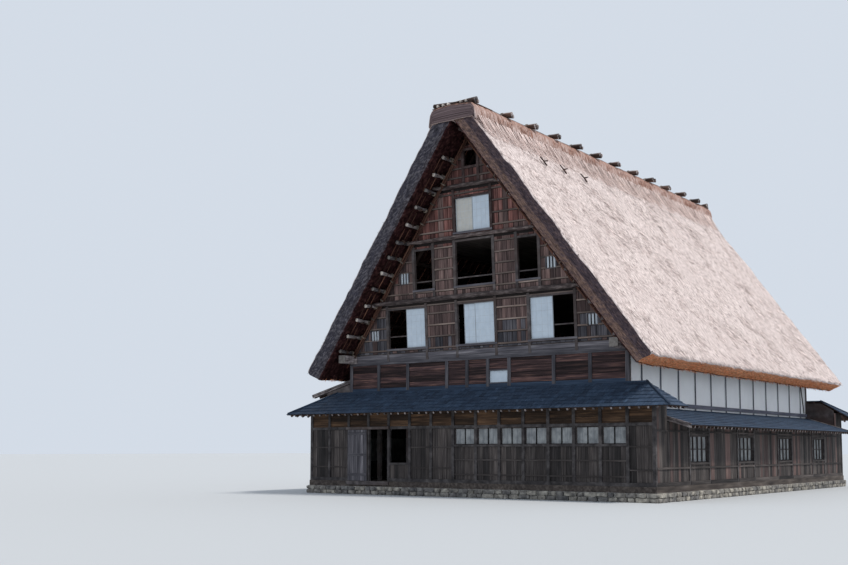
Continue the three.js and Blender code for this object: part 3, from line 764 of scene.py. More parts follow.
def ridge_cap():
    """The thatched cap astride the slopes, with straw that hangs over both of them."""
    pile = Pile(31)
    half = list(CAP_PROFILE)
    outline = np.array(half + [(0, CAP_TOP)] + [(-x, z) for x, z in half[::-1]])
    stations = edge_spaced(CAP_BAYS, True) * 2 - 1
    grid, faces, sides = skin((len(outline) - 1, len(stations) - 1, CAP_LAYERS))
    share = grid[:, 2] / CAP_LAYERS
    along = stations[grid[:, 1]]
    x, z = outline[grid[:, 0]].T
    y = along * CAP_Y
    place = triples(x * (1 - share) + x * 0.9 * share, y, z * (1 - share) + (RIDGE_Z + 0.001) * share)
    from_end = (1 - np.abs(along)) * CAP_Y
    drop = rounding(from_end, 0.05)
    lumps = 0.012 * waves(place, 0.6, 32) + 0.008 * waves(place, 0.18, 33) - 0.012
    sideways = np.sign(x) * np.minimum(np.abs(x), 0.9)
    outward = triples(sideways, 0, np.clip((z - 13.9) * 6, 0, 1))
    place += outward * ((lumps - drop) * (1 - share))[:, None]
    grain = triples(14.35 - place[:, 2], y, share * 0.5)
    paints = [CUT_THATCH if s in (2, 3) else RIDGE_THATCH for s in sides]
    pile.add(place, faces, grain, 0.5, paints, smooth=True)
    cap_straws(pile)
    return pile.finish("ridge_cap_reed", [RIDGE_THATCH, CUT_THATCH], "ridge_thatch", replaced=["ridge_cap"])


def cap_straws(pile, count=13000, loose=9000):
    """Straw down the cap's sides, and loose straw from its foot onto the slopes."""
    random = pile.random
    side = random.choice((-1, 1), count)
    z = random.uniform(13.43, 14.03, count)
    xs, zs = zip(*CAP_PROFILE)
    x = np.interp(z, zs, xs)
    y = random.uniform(-1, 1, count) * (CAP_Y - 0.09)
    roots = triples(side * (x - 0.02), y, z)
    fall = np.minimum(random.uniform(0.10, 0.26, count), z - 13.35)
    tips = roots + triples(side * random.uniform(0.025, 0.06, count), random.normal(0, 0.02, count), -fall)
    width = random.uniform(0.010, 0.02, count)
    straws(pile, roots, tips, width, triples(14.1 - z, y, 0), random.uniform(0, 1, count))
    side = random.choice((-1, 1), loose)
    travelled = random.uniform(0, 1, loose) ** 2 * 0.8
    z = CAP_FOOT[1] - travelled * SIN
    y = random.uniform(-1, 1, loose) * (verge_y(z) - 0.13)
    normal = triples(side * SIN, 0, COS)
    roots = triples(side * slope_x(z, 0), y, z) - normal * 0.01
    reach = random.uniform(0.15, 0.38, loose)
    tips = roots + triples(side * reach * COS, random.normal(0, 0.03, loose), -reach * SIN)
    tips += normal * random.uniform(0.035, 0.065, loose)[:, None]
    foot = random.uniform(0, 1, loose) < 0.4
    roots[foot] = triples(side * 1.045, y, random.uniform(13.40, 13.56, loose))[foot]
    width = random.uniform(0.010, 0.022, loose)
    straws(pile, roots, tips, width, triples(0.85 + travelled, y, 0 * y), random.uniform(0.2, 1, loose))


WEIGHT_XS = (-0.62, -0.39, -0.17, 0.38, 0.62)
WEIGHT_Z = 14.105
POLE_POINTS = 24
CROSS_FIRST = -8.45
CROSS_SPACING = 1.76
CROSS_COUNT = 11
CROSS_REACH = 1.10
CROSS_Z = 14.158
BUNDLE = ((-0.080, 0.0), (0.055, 0.0), (-0.015, 0.050), (-0.020, -0.060), (0.095, -0.045))
BUNDLE_POINTS = 7


def bundle(pile, row, centre, reach, height, droop, tilt=0.0):
    """Logs lashed together across the ridge, thicker towards their ends."""
    random = pile.random
    shares = np.linspace(-1, 1, BUNDLE_POINTS)
    radii = 0.048 + 0.018 * np.abs(shares)
    for offset, lift in BUNDLE:
        xs = centre + shares * (reach - random.uniform(0, 0.07))
        zs = height + lift * np.abs(shares) - droop * shares**2 - tilt * shares
        ys = row + offset * np.abs(shares) + random.normal(0, 0.008, BUNDLE_POINTS)
        rod(pile, triples(xs, ys, zs), radii, 7, PALE_LOG if lift > 0 else LOG, PALE_LOG)


def ridge_weights():
    """Poles along the ridge and lashed bundles of logs across it."""
    pile = Pile(41)
    random = pile.random
    ys = np.linspace(-CAP_Y + 0.004, CAP_Y - 0.004, POLE_POINTS)
    for x in WEIGHT_XS:
        sway = random.normal(0, 0.006, POLE_POINTS)
        path = triples(x + sway, ys, WEIGHT_Z + random.normal(0, 0.005, POLE_POINTS))
        rod(pile, path, 0.048, 8, PALE_LOG, CUT_END)
    rows = [CROSS_FIRST + k * CROSS_SPACING for k in range(CROSS_COUNT)]
    for row in rows:
        bundle(pile, row, 0.0, CROSS_REACH, CROSS_Z, random.uniform(0.055, 0.085))
    for end in (-1, 1):
        bundle(pile, end * (CAP_Y - 0.185), -0.05 * end, 0.94, 14.150, 0.025, -0.025 * end)
    for row in rows:
        for x in (WEIGHT_XS[0], WEIGHT_XS[-1]):
            lashing(pile, (x, row, 14.13), (1, 0, 0), 0.10, 0.014, 3, ROPE)
    return pile.finish("ridge_logs", [LOG, CUT_END, ROPE, PALE_LOG], "log_timber",
                       replaced=["ridge_poles_and_cross_logs"])


def ridge_end_poles():
    """Loose strips of the bark layer that show under the logs at both gables."""
    pile = Pile(42)
    random = pile.random
    width = 0.056
    for end in (-1, 1):
        for x in np.linspace(-0.80, 0.80, 15):
            top = 14.078 + random.normal(0, 0.004) - 0.045 * abs(x)
            y = sorted((end * (CAP_Y - 1.4), end * (CAP_Y - random.uniform(0.002, 0.03))))
            loop = [(u, v, top) for u, v in rectangle(x - width, x + width, *y)]
            slab(pile, loop, np.array((0, 0, -0.035)))
    return pile.finish("ridge_bark", [LOG], "log_timber")


# Roof frame
PURLIN_TOP = THATCH + 0.005
PURLIN_SIZE = 0.15
PURLIN_LOW = 5.49
PURLIN_STEP = 0.5725
PURLINS = 13
POLE_OUT = 0.14
PLATE = (5.70, 6.02, 5.06, 5.36)


def slope_line(side, y, depth, z0, z1, lean=0.0, steps=2):
    """A line down the slope at a depth; lean shifts it along Y as the gable does."""
    z = np.linspace(z0, z1, steps)
    return triples(side * slope_x(z, depth), y + lean * (z - LEAN_FROM), z)


def purlin_end(pile, x, z, wall, end):
    """An irregular pale log end outside the gable, with a thinner neck and rope round it."""
    random = pile.random
    reach = GABLE_Y + 1.0 + 0.04 * (z - PURLIN_LOW)
    tip = reach - random.uniform(0.02, 0.16) - (0.24 if x > 0 else 0)
    outs = wall + np.array((-0.05, 0.12, 0.40, 0.62, tip - wall))
    wobble = np.cumsum(random.normal(0, 0.010, (5, 2)), 0)
    path = triples(x + wobble[:, 0], end * outs, z + wobble[:, 1])
    radii = np.array((0.060, 0.056, 0.052, 0.066, 0.072)) * random.uniform(0.92, 1.06)
    rod(pile, path, radii, 9, PALE_LOG, PALE_LOG if x > 0 else CUT_END)
    lashing(pile, (x, end * (wall + 0.18), z), (0, 1, 0), 0.070, 0.020, 3, ROPE)
    lashing(pile, (x, end * (wall + 0.50), z), (0, 1, 0), 0.064, 0.018, 3, LOG)


def gable_poles(pile, side, end):
    """The two slim poles that rise in front of the gable boards, and broken poles under the overhang."""
    random = pile.random
    for depth, out in ((0.905, POLE_OUT - 0.03), (1.035, POLE_OUT + 0.02)):
        line = slope_line(side, end * (GABLE_Y + out), depth, 5.22, 13.2, end * LEAN, 8)
        line[1:-1] += random.normal(0, 0.012, (6, 3))
        rod(pile, line, np.linspace(0.045, 0.033, 8), 8, RED_POLE)
    line = slope_line(side, end * (GABLE_Y + POLE_OUT), 0.97, 5.4, 12.9, end * LEAN, 12)
    for point in line[:-1]:
        lashing(pile, point, line[1] - line[0], 0.105, 0.012, 2, ROPE)
    for out in (0.42, 0.66):
        for k in range(PURLINS - 1):
            low = PURLIN_LOW + k * PURLIN_STEP + random.uniform(-0.05, 0.12)
            high = low + PURLIN_STEP * random.uniform(0.7, 1.1)
            y = end * (GABLE_Y + out + random.normal(0, 0.02))
            line = slope_line(side, y, SHOWN_THATCH + 0.025, low, high, end * LEAN)
            rod(pile, line, 0.022, 5, RED_POLE)


def roof_frame(side):
    name = "right_roof_frame" if side > 0 else "left_roof_frame"
    pile = Pile(50 + side)
    for k in range(PURLINS):
        z = PURLIN_LOW + k * PURLIN_STEP
        x = side * slope_x(z, PURLIN_TOP + PURLIN_SIZE / 2)
        wall = GABLE_Y + LEAN * (z - LEAN_FROM)
        ys = np.linspace(-wall, wall, 9)
        rod(pile, triples(x, ys, z), 0.070)
        for end in (-1, 1):
            purlin_end(pile, x, z, wall, end)
    for y in (-1, -1 / 3, 1 / 3, 1):
        line = slope_line(side, y * (GABLE_Y - 0.35), PURLIN_TOP + PURLIN_SIZE + 0.08, 5.2, 13.1)
        rod(pile, line, 0.095, 10)
    spacing = 0.455
    for n in range(-20, 21):
        line = slope_line(side, n * spacing, SHOWN_THATCH + 0.022, 4.95, 13.3)
        rod(pile, line, 0.028, 5, RED_POLE)
    for end in (-1, 1):
        gable_poles(pile, side, end)
    x0, x1, z0, z1 = PLATE
    reach = GABLE_Y + 0.776
    loop = [(side * x, y, z1) for x, y in rectangle(x0, x1, -reach, reach)]
    slab(pile, loop, np.array((0, 0, z0 - z1)), None, PALE_LOG)
    for end in (-1, 1):
        face = [(side * x, end * (reach + 0.003), z) for x, z in rectangle(x0, x1, z0, z1)]
        slab(pile, face, np.array((0, -end * 0.02, 0)), None, CUT_END)
    paints = [LOG, PALE_LOG, CUT_END, ROPE, RED_POLE]
    return pile.finish(name + "_logs", paints, "log_timber", replaced=[name])


# Gables
STOREYS = (
    dict(level=2, z=(5.08, 7.30), battens=(5.50, 5.93, 6.36, 6.80, 7.12),
         windows=((-0.80, 0.80, 5.56, 7.04), (-4.05, -2.30, 5.56, 7.04), (2.30, 4.05, 5.56, 7.04)),
         vent=(4.75, 5.94, 6.27)),
    dict(level=3, z=(7.30, 9.505), girt=0.088, battens=(7.62, 8.02, 8.42, 8.82, 9.22),
         windows=((-0.80, 0.80, 7.73, 9.35), (-2.70, -1.88, 7.73, 9.20), (1.88, 2.70, 7.73, 9.20)),
         vent=(3.215, 8.03, 8.39)),
    dict(level=4, z=(9.505, 11.385), girt=0.07, battens=(9.82, 10.26, 10.70, 11.14),
         windows=((-0.76, 0.76, 9.71, 10.96),)),
    dict(level=5, z=(11.385, 12.90), girt=0.07, battens=(11.72, 12.05, 12.40),
         windows=((-0.27, 0.27, 12.10, 12.68),)),
)
PLATE_CLEAR_X = 5.68
GABLE_FOOT = 5.385
BOARD = 0.20
WINDOW_POST = 0.11
WINDOW_RAIL = 0.07
VENT_HALF = 0.20
VENT_RIM = 0.02
HALF_BATTEN = 0.026


def gable_outline(z0, z1):
    outline = rectangle(-PLATE_CLEAR_X, PLATE_CLEAR_X, z0, z1)
    for side in (-1, 1):
        outline = clip(outline, side * PITCH, 1, APEX - PITCH * EDGE_OFFSET)
    return outline


def siding_boards(wall, storey, outline, rows, gaps):
    """Boards of one storey, cut to lengths between its rows and around its gaps."""
    random = wall.random
    reach = max(x for x, _ in outline)
    # Boards of levels 2 and 3 get lower tints, and those of level 5, high under the overhang, lower still as
    # painted shade.
    darkening = {2: 0.62, 3: 0.85, 5: 0.40}.get(storey["level"], 1)
    for x0, x1 in cuts(-reach, reach, BOARD, random):
        tint = random.uniform(0.1, 0.9) * darkening
        age = random.normal(0, 0.10)
        for low, high in zip(rows[:-1], rows[1:]):
            slip = random.uniform(0.004, 0.014)
            board = within(outline, x0 + slip, x1 - slip, low + 0.006, high - 0.045)
            if len(board) < 3:
                continue
            proud = random.uniform(0.008, 0.024)
            paint = board_paint((low + high) / 2, age + random.normal(0, 0.05))
            for part in around(board, gaps):
                wall.panel(part, (-0.01, proud), max(0, tint + random.uniform(-0.2, 0.2)), paint)


def gable_siding(end):
    """Vertical boards in rows between battens, around the windows of the four storeys."""
    wall = Wall(60, ENDS[end], GABLE_Y, leaning=True)
    random = wall.random
    for storey in STOREYS:
        z0, z1 = storey["z"]
        foot = GABLE_FOOT if storey["level"] == 2 else z0
        outline = gable_outline(foot, z1)
        gaps = []
        vents = []
        for x0, x1, low, high in storey["windows"]:
            gaps.append((x0 - WINDOW_POST, x1 + WINDOW_POST, low - WINDOW_RAIL, high + WINDOW_RAIL))
        for x0, x1, _, _ in storey["windows"]:
            gaps += [(x, x + WINDOW_POST, z0, z1) for x in (x0 - WINDOW_POST, x1)]
        if "vent" in storey:
            centre, low, high = storey["vent"]
            for middle in (-centre, centre):
                vents.append((middle - VENT_HALF, middle + VENT_HALF, low - VENT_RIM, high + VENT_RIM))
        # A near-black backing that shows in the gaps between boards, as painted shade.
        for part in around(outline, gaps + vents):
            wall.panel(part, (-0.01, 0.003), 0.5, PAINTED_SHADE)
        siding_boards(wall, storey, outline, [foot, *storey["battens"], z1], gaps + vents)
        for z in storey["battens"]:
            for part in around(band(outline, z - HALF_BATTEN, z + HALF_BATTEN), gaps + vents):
                # Battens above 11 m get a much lower tint: painted shade under the apex.
                tint = random.uniform(0.1, 0.7) * (0.2 if z > 11 else 0.85)
                wall.panel(part, (0.0, 0.044), tint, BATTEN)
        # A dark strip over the boards just under the girt above: painted shade.
        if z1 < 12:
            for part in around(band(outline, z1 - 0.15, z1), gaps):
                wall.panel(part, (0.0, 0.028), 0.5, PAINTED_SHADE)
        for x0, x1, low, high in vents:
            for x in np.linspace(x0 + 0.07, x1 - 0.07, 3):
                wall.bar(x - 0.036, x + 0.036, low, high, (-0.02, 0.01), 0.9, SASH_BAR)
            wall.frame(x0, x1, low, high, 0.03, (0, 0.04), None, GREY_BOARD)
    paints = [RED_BOARD, BROWN_BOARD, GREY_BOARD, BATTEN, SASH_BAR, PAINTED_SHADE]
    return wall.finish(end + "_gable_boards", paints, "wall_boards")


def board_paint(z, age):
    """Redder boards high in the gable and greyer ones low down, where rain reaches them."""
    greyer = np.clip((9.9 - z) / 4.3, 0, 1) + age
    return RED_BOARD if greyer < 0.12 else BROWN_BOARD if greyer < 0.92 else GREY_BOARD


def gable_girts(end):
    """Slim bowed logs under the upper storeys, and the broad grey band at the foot of the gable."""
    wall = Wall(70, ENDS[end], GABLE_Y, leaning=True)
    random = wall.random
    count = 19
    shares = np.linspace(-1, 1, count)
    knees = (0, 0.8, 0.9, 1)
    for storey in STOREYS[1:]:
        z0 = storey["z"][0]
        radius = storey["girt"]
        reach = (APEX - z0) / PITCH - EDGE_OFFSET + 0.22
        rise = 0.03 * np.interp(shares, (-1, -0.5, 0, 0.5, 1), (0, 0.8, 1, 0.6, 0))
        sway = np.convolve(random.normal(0, 0.014, count + 2), np.ones(3) / 3, "valid")
        outs = np.interp(np.abs(shares), knees, (radius, radius, 0.26, 0.31))
        path = [wall.at(*place) for place in zip(shares * reach, outs, z0 + rise + sway)]
        radii = radius * np.interp(np.abs(shares), knees, (1.06, 1.06, 0.86, 0.75))
        rod(wall, path, radii * (1 + random.normal(0, 0.03, count)), 12, BARK, CUT_END)
    for z0, z1, proud, tint in ((5.20, 5.345, 0.055, 0.8), (5.056, 5.195, 0.045, 0.5)):
        wall.bar(-PLATE_CLEAR_X, PLATE_CLEAR_X, z0, z1, (0.0, proud), tint, GREY_BOARD)
    for storey in STOREYS[:3]:
        for x0, x1, low, _ in storey["windows"]:
            wall.bar(x0 - WINDOW_POST, x1 + WINDOW_POST, low - 0.075, low - 0.005, (0.0, 0.075), 0.7,
                     GREY_BOARD)
    return wall.finish(end + "_girts", [BARK, CUT_END, GREY_BOARD], "log_timber")


def shoji(wall, x0, x1, z0, z1, face, rows):
    """Frame and lattice bars of one paper leaf, on its outer face."""
    stile = 0.028
    half = 0.004
    columns = 4
    inside = (x0 + stile, x1 - stile, z0 + stile, z1 - stile)
    wall.frame(*inside, stile, (face - 0.01, face + 0.005), 0.6)
    for x in np.linspace(x0, x1, columns + 1)[1:-1]:
        wall.bar(x - half, x + half, *inside[2:], (face - 0.004, face + 0.001), 0.9)
    for z in np.linspace(z0, z1, rows + 1)[1:-1]:
        wall.bar(*inside[:2], z - half, z + half, (face - 0.004, face + 0.001), 0.9)


def gable_shoji(end):
    """Bars of the paper leaves, and a creamier paper on one leaf of the fourth level."""
    wall = Wall(80, ENDS[end], GABLE_Y, leaning=True)
    low = (5.562, 7.038)
    high = (9.712, 10.958)
    outer = -0.008
    inner = -0.032
    for x0, x1, heights, face, rows in (
        (-0.55, 0.25, low, inner, 6), (-0.06, 0.798, low, outer, 6), (-3.21, -2.302, low, outer, 6),
        (2.302, 3.21, low, outer, 6), (-0.758, 0.02, high, inner, 5), (-0.02, 0.758, high, outer, 5),
    ):
        shoji(wall, x0, x1, *heights, face, rows)
    wall.bar(-0.752, -0.024, high[0] + 0.004, high[1] - 0.004, (inner - 0.004, inner + 0.0005), None,
             CREAM_PAPER)
    return wall.finish(end + "_shoji_bars", [SASH_BAR, CREAM_PAPER], "shoji_paper")


# Mezzanine
MEZZANINE_BOARDS = (3.86, 5.04)
MEZZANINE_POST = 0.067


def mezzanine_siding(end):
    """Horizontal boards between the posts over the skirt roof."""
    wall = Wall(90, ENDS[end], GABLE_Y)
    random = wall.random
    posts = sorted([-x for x in MEZZANINE_POSTS] + list(MEZZANINE_POSTS))
    bays = list(zip(posts[:-1], posts[1:]))
    foot, top = MEZZANINE_BOARDS
    x0, x1, z0, z1 = MEZZANINE_WINDOW
    width = 0.04
    hole = (x0 - width, x1 + width, z0 - width, z1 + width)
    for left, right in bays:
        sides = (left + MEZZANINE_POST + 0.001, right - MEZZANINE_POST - 0.001)
        for part in around(rectangle(*sides, foot, top), [hole]):
            wall.panel(part, (-0.01, 0.003), 0.5, PAINTED_SHADE)
        for low, high in cuts(foot, top, BOARD, random):
            tint = random.uniform(0, 1)
            for part in around(rectangle(*sides, low + 0.018, high), [hole]):
                wall.panel(part, (-0.01, random.uniform(0.006, 0.026)), tint)
    for left, right in bays:
        wall.bar(left + MEZZANINE_POST, right - MEZZANINE_POST, foot, hole[2] - 0.002, (0.0, 0.036),
                 random.uniform(0.4, 0.7), SHINGLE)
    for x in posts:
        wall.bar(x - MEZZANINE_POST, x + MEZZANINE_POST, foot - 0.06, top + 0.01, (0.0, 0.049),
                 random.uniform(0.1, 0.5), GREY_BOARD)
    wall.frame(*MEZZANINE_WINDOW, width, (0, 0.035), 0.5, GREY_BOARD)
    wall.bar(-CORE_X, CORE_X, 4.965, 5.058, (-0.05, 0.062), 0.3, GREY_BOARD)
    return wall.finish(end + "_mezzanine_boards", [LOW_BOARD, GREY_BOARD, PAINTED_SHADE, SHINGLE], "wall_boards")


# Ground storey at the ends
POCKET = AISLE - 0.06
FRIEZE = (2.55, 3.22)
FRIEZE_WIDTH = 0.22
DOOR_BATTENS = (0.70, 1.45, 2.25)


def post_x(i):
    """Middle of a post of the ground storey's end walls, counted from the left."""
    return min(max(-STOREY_X + BAY * i, -STOREY_X + POST / 2), STOREY_X - POST / 2)


def sash_bars(wall, x0, x1):
    """The bars of two leaves that lap in the middle of a window."""
    stile = 0.03
    face = POCKET - 0.045
    middle = (x0 + x1) / 2
    for left, right in ((x0, middle + stile / 2), (middle - stile / 2, x1)):
        for x in (left, right - stile):
            wall.bar(x, x + stile, WINDOW_SILL, LINTEL[0], (face, face + 0.025), 0.5, DARK_FRAME)
        x = (left + right) / 2
        wall.bar(x - 0.004, x + 0.004, WINDOW_SILL, LINTEL[0], (face, face + 0.006), 0.2, SASH_BAR)
    for z in (WINDOW_SILL, LINTEL[0] - stile):
        wall.bar(x0, x1, z, z + stile, (face, face + 0.022), 0.5, DARK_FRAME)


def ground_siding(end):
    """Boards in the panels of the end wall, a frieze above, and two-leaf windows."""
    wall = Wall(100, ENDS[end], GABLE_Y)
    random = wall.random
    for i in range(15):
        x0 = post_x(i) + POST / 2 + 0.004
        x1 = post_x(i + 1) - POST / 2 - 0.004
        doorway = end == "front" and i == 3
        opening = end == "front" and i == 4
        window = 7 <= i < 14
        for low, high in cuts(*FRIEZE, FRIEZE_WIDTH, random, 0.1):
            outs = (POCKET - 0.01, POCKET + random.uniform(0.012, 0.026))
            wall.bar(x0, x1, low + 0.004, high, outs, None, FRIEZE_BOARD)
        if not doorway:
            top = 1.12 if opening else WINDOW_SILL - 0.075 if window else LINTEL[0] - 0.005
            for left, right in cuts(x0, x1, BOARD, random):
                outs = (POCKET - 0.01, POCKET + random.uniform(0.010, 0.022))
                wall.bar(left + 0.003, right - 0.003, DECK_TOP + 0.125, top, outs)
            for z in (0.78, 1.30) if window else () if opening else (1.0, 1.75):
                wall.bar(x0, x1, z, z + 0.05, (POCKET, POCKET + 0.045), 0.5)
        if window:
            sash_bars(wall, x0, x1)
    paints = [GROUND_BOARD, DARK_FRAME, FRIEZE_BOARD, SASH_BAR]
    return wall.finish(end + "_ground_boards", paints, "wall_boards")


def door_boards():
    """Vertical boards and three battens of the sliding door."""
    wall = Wall(110, 0, GABLE_Y)
    random = wall.random
    low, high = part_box("entrance_door")
    x0, x1 = low.x, high.x
    face = AISLE + 0.055
    for left, right in cuts(x0 + 0.002, x1 - 0.002, 0.155, random):
        outs = (face - 0.006, face + random.uniform(0.004, 0.010))
        wall.bar(left + 0.003, right - 0.003, low.z + 0.002, high.z - 0.002, outs)
    for z in DOOR_BATTENS:
        wall.bar(x0 + 0.026, x1 - 0.026, z - 0.003, z + 0.093, (face, face + 0.0235), 0.3)
    return wall.finish("door_boards", [GREY_BOARD], "weathered_wood", DOOR)


# Skirt roofs
class Plane:
    """A roof plane: u along its eave, v up the slope, both in metres."""

    def __init__(self, origin, along, up):
        self.origin = np.asarray(origin, float)
        self.along = unit(np.asarray(along, float))
        self.up = unit(np.asarray(up, float))
        self.normal = np.cross(self.along, self.up)

    def at(self, u, v, lift):
        return self.origin + self.along * u + self.up * v + self.normal * lift


COURSE = 0.24
SHINGLE_THICK = 0.016


def plank(pile, plane, outline, lift, thick, tint, paint):
    """A board with an outline of (u, v) points, whose upper face has the given lift."""
    slab(pile, [plane.at(u, v, lift) for u, v in outline], -plane.normal * thick, tint, paint)


def shingle(pile, plane, outline, width=0.22):
    """Courses of boards that fill an outline of (u, v) points, with sarking under them."""
    random = pile.random
    top = max(v for u, v in outline)
    u0 = min(u for u, v in outline)
    u1 = max(u for u, v in outline)
    courses = round(top / COURSE)
    pitch = top / courses
    length = pitch * 1.25
    for c in range(courses):
        low = c * pitch
        high = min(low + length, top)
        for left, right in cuts(u0, u1, width, random, 0.3):
            foot = low + random.uniform(-0.006, 0.006) if c else 0
            part = within(outline, left + 0.003, right - 0.003, foot, high)
            if len(part) < 3 or area(part) < 1e-3:
                continue
            front = [plane.at(u, v, -0.002 - 0.024 * (v - low) / length) for u, v in part]
            slab(pile, front, -plane.normal * SHINGLE_THICK, random.uniform(0.35, 0.7))
    plank(pile, plane, clip(outline, 0, -1, -0.05), -0.045, 0.02, 0.4, LOG)


RAFTER_STEP = 0.32
RAFTER_HALF = 0.036
RAFTER_FOOT = 0.012


def rafter(pile, plane, u, v0, v1):
    """A rafter and the pale cut face of its lower end."""
    plank(pile, plane, rectangle(u - RAFTER_HALF, u + RAFTER_HALF, v0, v1), -0.052, 0.078, None, LOG)
    front = v0 - 0.002
    half = RAFTER_HALF - 0.002
    face = [plane.at(u + x, front, lift) for x, lift in rectangle(-half, half, -0.053, -0.129)]
    slab(pile, face, plane.up * 0.006, None, PALE_LOG)


def eave_strip(pile, plane, u0, u1):
    """The edge board under the lowest course, at the lowest tint as painted shade under the shingles."""
    plank(pile, plane, rectangle(u0, u1, 0.004, 0.06), -0.03, 0.022, 0.0, LOG)


def end_skirt(end):
    """The hipped skirt roof over one end's aisle."""
    wall = Wall(120, ENDS[end], GABLE_Y)
    eave_z = SKIRT_TOP - SKIRT_SLOPE * (SKIRT_OUT - SKIRT_BACK)
    corners = [wall.at(-ROOF_X, SKIRT_OUT, eave_z), wall.at(ROOF_X, SKIRT_OUT, eave_z)]
    tops = [wall.at(-HIP_X, SKIRT_BACK, SKIRT_TOP), wall.at(HIP_X, SKIRT_BACK, SKIRT_TOP)]
    middle = wall.at(0, SKIRT_OUT, eave_z)
    rise = wall.at(0, SKIRT_BACK, SKIRT_TOP) - middle
    main = Plane(middle, corners[1] - corners[0], rise)
    length = np.linalg.norm(rise)
    shingle(wall, main, [(-ROOF_X, 0), (ROOF_X, 0), (HIP_X, length), (-HIP_X, length)])
    eave_strip(wall, main, -ROOF_X + 0.02, ROOF_X - 0.02)
    for u in np.arange(-24, 25) * RAFTER_STEP:
        reach = length if abs(u) < HIP_X else length * (ROOF_X - abs(u)) / (ROOF_X - HIP_X)
        rafter(wall, main, u, RAFTER_FOOT, reach)
    for side in (-1, 1):
        back = wall.at(side * ROOF_X, SKIRT_BACK, eave_z)
        corner = corners[(side + 1) // 2]
        top = tops[(side + 1) // 2]
        start, finish = (corner, back) if side > 0 else (back, corner)
        rise = top - back
        hip = Plane(start, finish - start, rise)
        run = np.linalg.norm(back - corner)
        length = np.linalg.norm(rise)
        tip = run if side > 0 else 0.0
        shingle(wall, hip, [(0, 0), (run, 0), (tip, length)])
        eave_strip(wall, hip, 0.02, run - 0.02)
        for u in np.arange(0.25, run, RAFTER_STEP):
            share = u / run if side > 0 else 1 - u / run
            rafter(wall, hip, u, RAFTER_FOOT, length * share - 0.02)
        rod(wall, [corner + (top - corner) * 0.025, top], 0.035, 6)
    wall.bar(-HIP_X, HIP_X, SKIRT_TOP - 0.045, SKIRT_TOP - 0.002, (0.004, SKIRT_BACK + 0.05), 0.5)
    return wall.finish(end + "_skirt_shingles", [SHINGLE, LOG, PALE_LOG], "roof_shingles",
                       replaced=[end + "_skirt_roof"])


SIDE_ROOFS = {"left": ("left_lean_to_roof", 4.445, 3.89), "right": ("right_skirt_roof", 3.15, 2.50)}


def side_roof(side):
    """The lean-to roof on the left or the low skirt roof on the right."""
    node, top, eave = SIDE_ROOFS[side]
    wall = Wall(130, SIDES[side], 0)
    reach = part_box(node)[1].y
    low = wall.at(0, ROOF_X, eave)
    rise = wall.at(0, CORE_X + 0.002, top) - low
    plane = Plane(low, wall.at(1, 0, 0) - wall.at(0, 0, 0), rise)
    length = np.linalg.norm(rise)
    shingle(wall, plane, rectangle(-reach, reach, 0, length), 0.26)
    eave_strip(wall, plane, -reach, reach)
    for u in np.arange(-reach + 0.1, reach, RAFTER_STEP):
        rafter(wall, plane, u, RAFTER_FOOT, length)
    for end in (-1, 1):
        for width, lift, thick in ((0.035, 0.004, 0.13), (0.105, 0.012, 0.02)):
            outline = rectangle(end * reach, end * (reach - width), RAFTER_FOOT, length)
            plank(wall, plane, outline, lift, thick, 0.6, PALE_LOG)
    return wall.finish(side + "_roof_shingles", [SHINGLE, LOG, PALE_LOG], "roof_shingles", replaced=[node])


# Side walls
def eave_wall_timber(side):
    """Posts, sill beam, top plate and a brace over the plaster."""
    wall = Wall(140, SIDES[side], 0)
    random = wall.random
    face = CORE_X - 0.03
    foot = 3.15 if side == "right" else 4.45
    end = GABLE_Y - 0.105
    top = 5.035
    posts = [s * CORE_BAY * (i + 0.5) for i in range(6) for s in (-1, 1)]
    for y in posts:
        wall.bar(y - 0.058, y + 0.058, foot - 0.1, top, (face - 0.02, CORE_X + 0.004),
                 random.uniform(0, 0.4), BLUE_BEAM)
    wall.bar(-end, end, 4.90, top, (face, CORE_X + 0.03), 0.2)
    if side == "right":
        wall.bar(-end, end, 3.19, 3.33, (face, CORE_X + 0.045), 0.8, BLUE_BEAM)
        brace = [(8.86, 3.36), (8.95, 3.36), (8.47, 4.90), (8.38, 4.90)]
        wall.panel(brace, (face, face + 0.022), 0.2)
    return wall.finish(side + "_eave_wall_timber", [DARK_FRAME, BLUE_BEAM], "wall_boards")


SIDE_WINDOW_Y = (-6.6, -2.2, 2.2, 6.6)
SIDE_WINDOW = (1.25, 2.15)
SIDE_GAP = (1.18, 2.22)
SIDE_WINDOW_HALF = 0.80
SIDE_POST = 0.855
SIDE_RAIL = 0.07
SIDE_FACE = STOREY_X - 0.04


